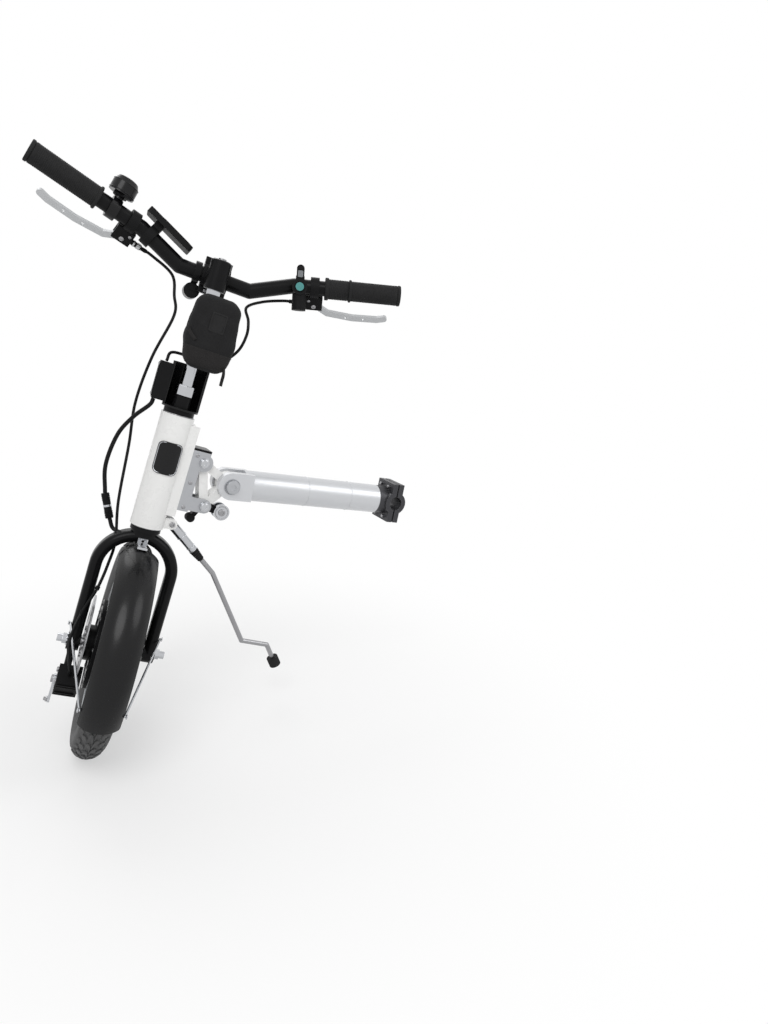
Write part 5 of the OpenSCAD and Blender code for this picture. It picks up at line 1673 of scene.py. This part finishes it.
    def build(self) -> list[bpy.types.Object]:
        """Makes the pouch, its band, zip, patch, strap tails and straps.

        Returns:
            The new pieces.
        """
        pouch = self.form()
        self.swell(pouch)
        settle(pouch, Finishes.cloth, "steered", ["pouch"])
        into = FRAMES.steer().inverted()
        tree = BVHTree.FromPolygons([into @ v.co for v in pouch.data.vertices],
                                    [tuple(p.vertices) for p in pouch.data.polygons])
        return [pouch, self.band(tree), self.zip(tree), self.patch(tree), self.tails(tree), self.straps()]

    def zip(self, tree: BVHTree) -> bpy.types.Object:
        """Makes the zip that runs over the pouch, with its tape, teeth and pull.

        Args:
            tree: The pouch's faces in its own steered frame, in millimetres.

        Returns:
            The new piece.
        """
        centre = Vector((self.middle[0] + self.seam[0], self.middle[1], self.low + self.height / 2))
        line, tooth = [], Vector((0.9, 0, 0))
        for i in range(120):
            a = math.radians(-52 + 284 * i / 119)
            way = Vector((0, math.cos(a), math.sin(a)))
            hit = tree.ray_cast(centre + way * 140, -way)[0]
            line.append((hit if hit is not None else centre + way * 60) + way * 0.1)
        shape = Shape().tube(line, 2.4, 10, flat=0.3)
        for a in line[:-1]:
            out = (a - centre).normalized()
            shape.tube([a + out * 0.5 - tooth, a + out * 0.9, a + out * 0.5 + tooth], 0.42, 6)
        pull = line[20] + (line[20] - centre).normalized() * 1.2
        shape.slab(soft_rect(4.0, 13.0, 1.8), -0.6, 0.6, aim(pull, pull + (line[20] - centre)) @ move(0, -6.0, 0))
        return shape.piece("pouch_zip", FRAMES.steer(), Finishes.webbing, "steered", sharp=50)

    def band(self, tree: BVHTree) -> bpy.types.Object:
        """Makes the wide band sewn round the pouch's lower part.

        Args:
            tree: The pouch's faces in its own steered frame, in millimetres.

        Returns:
            The new piece.
        """
        shape = Shape().grid([self.round_skin(tree, s, proud) for s, proud in self.band_rows], closed=True)
        return shape.piece("pouch_band", FRAMES.steer(), Finishes.webbing, "steered", sharp=50)

    def patch(self, tree: BVHTree) -> bpy.types.Object:
        """Makes the bare moulded patch on the pouch's face.

        Args:
            tree: The pouch's faces in its own steered frame, in millimetres.

        Returns:
            The new piece.
        """
        outline = soft_rect(25.0, 31.0, 3.0, 4)
        wide, high, level = 20.0, 26.0, 0.5
        inner = soft_rect(wide, high, 2.0, 4)
        inside = [[((i / 6 - 0.5) * wide, (j / 6 - 0.5) * high) for i in range(7)] for j in range(7)]

        def on_skin(points: Sequence[tuple[float, float]], proud: float) -> list[Vector]:
            """Points of the patch laid on the pouch's face.

            Args:
                points: Points from the patch's middle, across and up.
                proud: How far they stand off the skin.

            Returns:
                The points, in millimetres of the steered frame.
            """
            y0, s0 = self.middle[1] + self.patch_at[0], self.patch_at[1]
            return [self.touch(tree, y0 + y, s0 + s) - Vector((proud, 0, 0)) for y, s in points]

        edge = ((outline, -0.6), (outline, 0.9), (inner, 1.1), (inner, level))
        shape = Shape().grid([on_skin(points, proud) for points, proud in edge], caps=False)
        shape.grid([on_skin(row, level) for row in inside], round_rows=False)
        return shape.piece("pouch_patch", FRAMES.steer(), Finishes.grip, "steered", sharp=30)

    def tails(self, tree: BVHTree) -> bpy.types.Object:
        """Makes the tail that hangs from the band and the short one that lies on the face.

        Args:
            tree: The pouch's faces in its own steered frame, in millimetres.

        Returns:
            The new piece.
        """
        shape = Shape()
        hanging = [self.touch(tree, -44.0, 700.0) - Vector((1.6, 0, 0)), (-46.0, -46.5, 690.0), (-40.0, -47.5, 680.0),
                   (-38.0, -48.0, 671.0)]
        lying = [self.touch(tree, y, s) - Vector((proud, 0, 0))
                 for y, s, proud in ((24.0, 742.0, 1.4), (18.0, 735.0, 1.8), (11.0, 729.0, 2.0))]
        for path in (hanging, lying):
            shape.tube(smooth_path(path, 5), 3.0, 10, flat=0.35)
        return shape.piece("pouch_tails", FRAMES.steer(), Finishes.webbing, "steered", sharp=60)

    def straps(self) -> bpy.types.Object:
        """Makes the two straps that hold the pouch to the column.

        Returns:
            The new piece.
        """
        shape, r = Shape(), self.strap_r
        for s in self.straps_s:
            loop = []
            for i in range(28):
                a = 2 * math.pi * i / 28
                loop.append((math.cos(a) * r - (2.4 if math.cos(a) < -0.6 else 0.0), math.sin(a) * r, s))
            rows = []
            for up, out in ((-7, 0.0), (7, 0.0), (7, 1.4), (-7, 1.4)):
                rows.append([(x * (1 + out / r), y * (1 + out / r), z + up) for x, y, z in loop])
            shape.grid(rows, closed=True)
        return shape.piece("pouch_straps", FRAMES.steer(), Finishes.webbing, "steered", sharp=50)


@dataclass
class Cords(SubAssembly):
    """Brake and motor cables on the routes of their solids.

    Attributes:
        brake_r: Radius of the brake cables' jackets.
        motor_r: Radius of the motor cable's jacket.
        left: Route of the left brake cable, lever to caliper: runs with the height that each is lifted by.
        right: Route of the right brake cable, lever to controller.
        motor: Route of the motor cable, controller to plug.
        tail: Route of the motor cable, plug to axle.
    """

    brake_r: float = 2.5
    motor_r: float = 3.5
    left: tuple[tuple[float, tuple[Point, ...]], ...] = (
        (FRAMES.bar_s, ((70, 123.5, 7), (74, 104, 2.3), (68, 66, -16), (60, 54, -48), (57, 46, -80))),
        (FRAMES.head_top, ((55, 62, 76), (54, 68, -4))),
        (FRAMES.head_low, ((48, 60, 118), (38, 52, 20), (24, 40, -44))),
        (FRAMES.hub_s, ((2, 42, 142), (-22, 49, 104), (-23, 62, 58), (-64, 70, 20), (-85, 60, -12),
                        (-71.4, 56, -30.7))))
    right: tuple[tuple[float, tuple[Point, ...]], ...] = (
        (FRAMES.bar_s, ((66, -142.5, 11.7), (70, -123, 7), (62, -88, -8), (38, -62, -28), (12, -68, -50), (6, -71, -74),
                        (6, -64, -104))),
        (FRAMES.head_top, ((14, -42, 104), (27, -6, 97), (22, 34, 95), (14, 40, 79.1))))
    motor: tuple[tuple[float, tuple[Point, ...]], ...] = (
        (FRAMES.box_s, ((10, 44, -1.6), (11, 47, -14), (24, 66, -42), (40, 82, -80))),
        (FRAMES.head_low, ((50, 87, 73.5), (50, 76, 26.5))))
    tail: tuple[tuple[float, tuple[Point, ...]], ...] = (
        (FRAMES.head_low, ((46, 58, -14), (43, 47, -30), (30, 22, -31), (25, -20, -34), (24, -52, -64))),
        (FRAMES.hub_s, ((24, -62, 112), (23, -63, 52), (21, -57, 22), (14, -47.6, 8))))

    @staticmethod
    def route(runs: Sequence[tuple[float, Sequence[Point]]]) -> list[Vector]:
        """Points of a route from its runs, each lifted to its own height."""
        return [Vector(p) + Vector((0, 0, lift)) for lift, run in runs for p in run]

    def run(self, name: str, runs: Sequence[tuple[float, Sequence[Point]]], radius: float,
            stands_for: Sequence[str]) -> bpy.types.Object:
        """Args:
            name: Name of the piece.
            runs: Points of its route, in millimetres of the steered frame, with the lift of each run.
            radius: Radius of its jacket.
            stands_for: CAD nodes that it replaces.

        Returns:
            The cable.
        """
        path = smooth_path(self.route(runs), 8)
        made = Shape().tube(path, radius, 14).piece(name, FRAMES.steer(), Finishes.jacket, "steered", stands_for)
        return made

    def build(self) -> list[bpy.types.Object]:
        """Makes the four cables and their clips.

        Returns:
            The new pieces.
        """
        return [
            self.run("brake_cable_left", self.left, self.brake_r, ["brake_cables"]),
            self.run("brake_cable_right", self.right, self.brake_r, ["brake_cables"]),
            self.run("motor_cable_upper", self.motor, self.motor_r, ["motor_cable"]),
            self.run("motor_cable_lower", self.tail, self.motor_r, ["motor_cable"]),
            self.clips(),
        ]

    def clips(self) -> bpy.types.Object:
        """Makes the clips and end sleeves that hold the cables.

        Returns:
            The new piece.
        """
        shape = Shape()
        left, tail = smooth_path(self.route(self.left), 8), smooth_path(self.route(self.tail), 8)
        for line, s, r in ((left, 292.0, self.brake_r), (left, 246.0, self.brake_r), (tail, 262.0, self.motor_r)):
            i = min(range(1, len(line) - 1), key=lambda k: abs(line[k].z - s))
            way = aim(line[i - 1], line[i + 1])
            way.translation = line[i]
            shape.revolve([(r + 0.1, -3.5), (r + 1.2, -3.0), (r + 1.2, 3.0), (r + 0.1, 3.5)], 20, way, closed=True)
        for line, r in ((left, self.brake_r), (left[::-1], self.brake_r),
                        (smooth_path(self.route(self.right), 8), self.brake_r)):
            way = aim(line[0], line[2])
            shape.revolve([(r + 0.1, 0.6), (r + 0.9, 0.8), (r + 0.9, 9.0), (r + 0.1, 10.0)], 20, way, closed=True)
        return shape.piece("cable_clips", FRAMES.steer(), Finishes.matte, "steered")


@dataclass
class Studio:
    """Plain pale floor, soft light and the camera at the photograph's angle.

    Attributes:
        eye: Place of the camera, in metres of the row frame.
        yaw: Heading of the view, in degrees from +X.
        pitch: How far it looks down, in degrees.
        roll: Roll of the camera, in degrees.
        lens: Focal length for a 36 mm sensor.
        floor_z: Height of the floor.
        floor_half: Half of the floor's width.
        middle: Where the object stands on the floor.
        white: Share of plain white that the floor shows under the object.
        fade: Distances over which the floor turns plain white.
        ambient: Strength of the world as light.
        target: Point that the lamps look at.
        lamps: Place, size and power of each lamp.
    """

    eye: tuple[float, float, float] = (0.710, 1.2427, 0.383)
    yaw: float = -119.46
    pitch: float = 15.92
    roll: float = 2.81
    lens: float = 26.27
    floor_z: float = -0.394
    middle: tuple[float, float] = (0.45, 0.0)
    floor_half: float = 14.0
    white: float = 0.45
    fade: tuple[float, float] = (0.25, 0.95)
    ambient: float = 0.55
    target: tuple[float, float, float] = (0.42, 0.0, 0.0)
    lamps: tuple[tuple[tuple[float, float, float], float, float], ...] = (
        ((1.3, 1.5, 1.9), 1.6, 24.0), ((-1.2, 1.3, 1.3), 1.4, 11.0), ((0.3, -1.7, 1.8), 1.8, 16.0))

    def camera(self) -> None:
        """Makes the camera."""
        data = bpy.data.cameras.new("camera")
        data.lens, data.sensor_width = self.lens, 36.0
        data.clip_start, data.clip_end = 0.02, 60.0
        made = bpy.data.objects.new("camera", data)
        yaw, pitch, roll = (math.radians(a) for a in (self.yaw, self.pitch, self.roll))
        ahead = Vector((math.cos(yaw) * math.cos(pitch), math.sin(yaw) * math.cos(pitch), -math.sin(pitch)))
        right = ahead.cross(Vector((0, 0, 1))).normalized()
        up = right.cross(ahead)
        right, up = right * math.cos(roll) + up * math.sin(roll), up * math.cos(roll) - right * math.sin(roll)
        spin = Matrix((right, up, -ahead)).transposed().to_4x4()
        made.matrix_world = Matrix.Translation(self.eye) @ spin
        bpy.context.scene.collection.objects.link(made)
        bpy.context.scene.camera = made

    @staticmethod
    def watched(tree: bpy.types.NodeTree) -> bpy.types.NodeSocket:
        """Adds a socket that is 1 for camera, glossy and transmission rays.

        Args:
            tree: The node tree of the world or the floor.

        Returns:
            The socket.
        """
        path = tree.nodes.new("ShaderNodeLightPath")
        last = path.outputs["Is Camera Ray"]
        for name in ("Is Glossy Ray", "Is Transmission Ray"):
            either = tree.nodes.new("ShaderNodeMath")
            either.operation = "MAXIMUM"
            tree.links.new(last, either.inputs[0])
            tree.links.new(path.outputs[name], either.inputs[1])
            last = either.outputs["Value"]
        return last

    def world(self) -> None:
        """Makes the world: white to the eye and in reflections, softer as light."""
        made = bpy.data.worlds.new("studio")
        bpy.context.scene.world = made
        made.use_nodes = True
        tree = made.node_tree
        back = tree.nodes["Background"]
        back.inputs["Color"].default_value = (1, 1, 1, 1)
        level = tree.nodes.new("ShaderNodeMapRange")
        level.inputs["To Min"].default_value = self.ambient
        level.inputs["To Max"].default_value = 1.0
        tree.links.new(self.watched(tree), level.inputs["Value"])
        tree.links.new(level.outputs["Result"], back.inputs["Strength"])

    def floor(self) -> None:
        """Makes the floor."""
        mesh = bpy.data.meshes.new("floor")
        z, r = self.floor_z, self.floor_half
        mesh.from_pydata([(-r, -r, z), (r, -r, z), (r, r, z), (-r, r, z)], [], [(0, 1, 2, 3)])
        made = bpy.data.objects.new("floor", mesh)
        bpy.context.scene.collection.objects.link(made)
        material = bpy.data.materials.new("pale_floor")
        material.use_nodes = True
        tree = material.node_tree
        shader = tree.nodes["Principled BSDF"]
        shader.inputs["Base Color"].default_value = (0.9, 0.9, 0.9, 1)
        shader.inputs["Roughness"].default_value = 0.9
        shader.inputs["Specular IOR Level"].default_value = 0.1
        glow = tree.nodes.new("ShaderNodeEmission")
        where = tree.nodes.new("ShaderNodeTexCoord")
        apart = tree.nodes.new("ShaderNodeVectorMath")
        apart.operation = "DISTANCE"
        apart.inputs[1].default_value = (self.middle[0], self.middle[1], self.floor_z)
        tree.links.new(where.outputs["Object"], apart.inputs[0])
        fade = tree.nodes.new("ShaderNodeMapRange")
        fade.interpolation_type = "SMOOTHSTEP"
        for name, value in (("From Min", self.fade[0]), ("From Max", self.fade[1]), ("To Min", self.white),
                            ("To Max", 1.0)):
            fade.inputs[name].default_value = value
        tree.links.new(apart.outputs["Value"], fade.inputs["Value"])
        share = tree.nodes.new("ShaderNodeMath")
        share.operation = "MULTIPLY"
        tree.links.new(fade.outputs["Result"], share.inputs[0])
        tree.links.new(self.watched(tree), share.inputs[1])
        mix = tree.nodes.new("ShaderNodeMixShader")
        tree.links.new(share.outputs["Value"], mix.inputs[0])
        tree.links.new(shader.outputs["BSDF"], mix.inputs[1])
        tree.links.new(glow.outputs["Emission"], mix.inputs[2])
        tree.links.new(mix.outputs["Shader"], tree.nodes["Material Output"].inputs["Surface"])
        mesh.materials.append(material)
        made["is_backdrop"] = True

    def light(self) -> None:
        """Makes the soft lamps."""
        for i, (place, size, power) in enumerate(self.lamps):
            data = bpy.data.lights.new(f"softbox_{i}", "AREA")
            data.shape, data.size, data.energy = "DISK", size, power
            made = bpy.data.objects.new(f"softbox_{i}", data)
            aim_at = Vector(self.target) - Vector(place)
            made.matrix_world = Matrix.Translation(place) @ aim_at.to_track_quat("-Z", "Y").to_matrix().to_4x4()
            bpy.context.scene.collection.objects.link(made)

    def build(self) -> None:
        """Makes the whole set."""
        bpy.context.scene.view_settings.view_transform = "Standard"
        self.camera()
        self.world()
        self.floor()
        self.light()


def clear() -> None:
    """Empties Blender's starting scene."""
    for made in list(bpy.data.objects):
        bpy.data.objects.remove(made)


def main() -> None:
    """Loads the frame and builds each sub-assembly."""
    logging.basicConfig(level=logging.INFO, format="%(message)s")
    clear()
    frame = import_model()
    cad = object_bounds()
    Studio(floor_z=cad[0].z).build()
    parts = (Cords(), Arm(), Coupler(), Head(), Stand(), Fork(), Wheel(), Cockpit(), Power(), Pouch())
    for part in parts:
        made = part.build()
        part.dress(frame["nodes"])
        LOG.info("%s: %d new pieces", type(part).__name__, len(made))


if __name__ == "__main__":
    main()
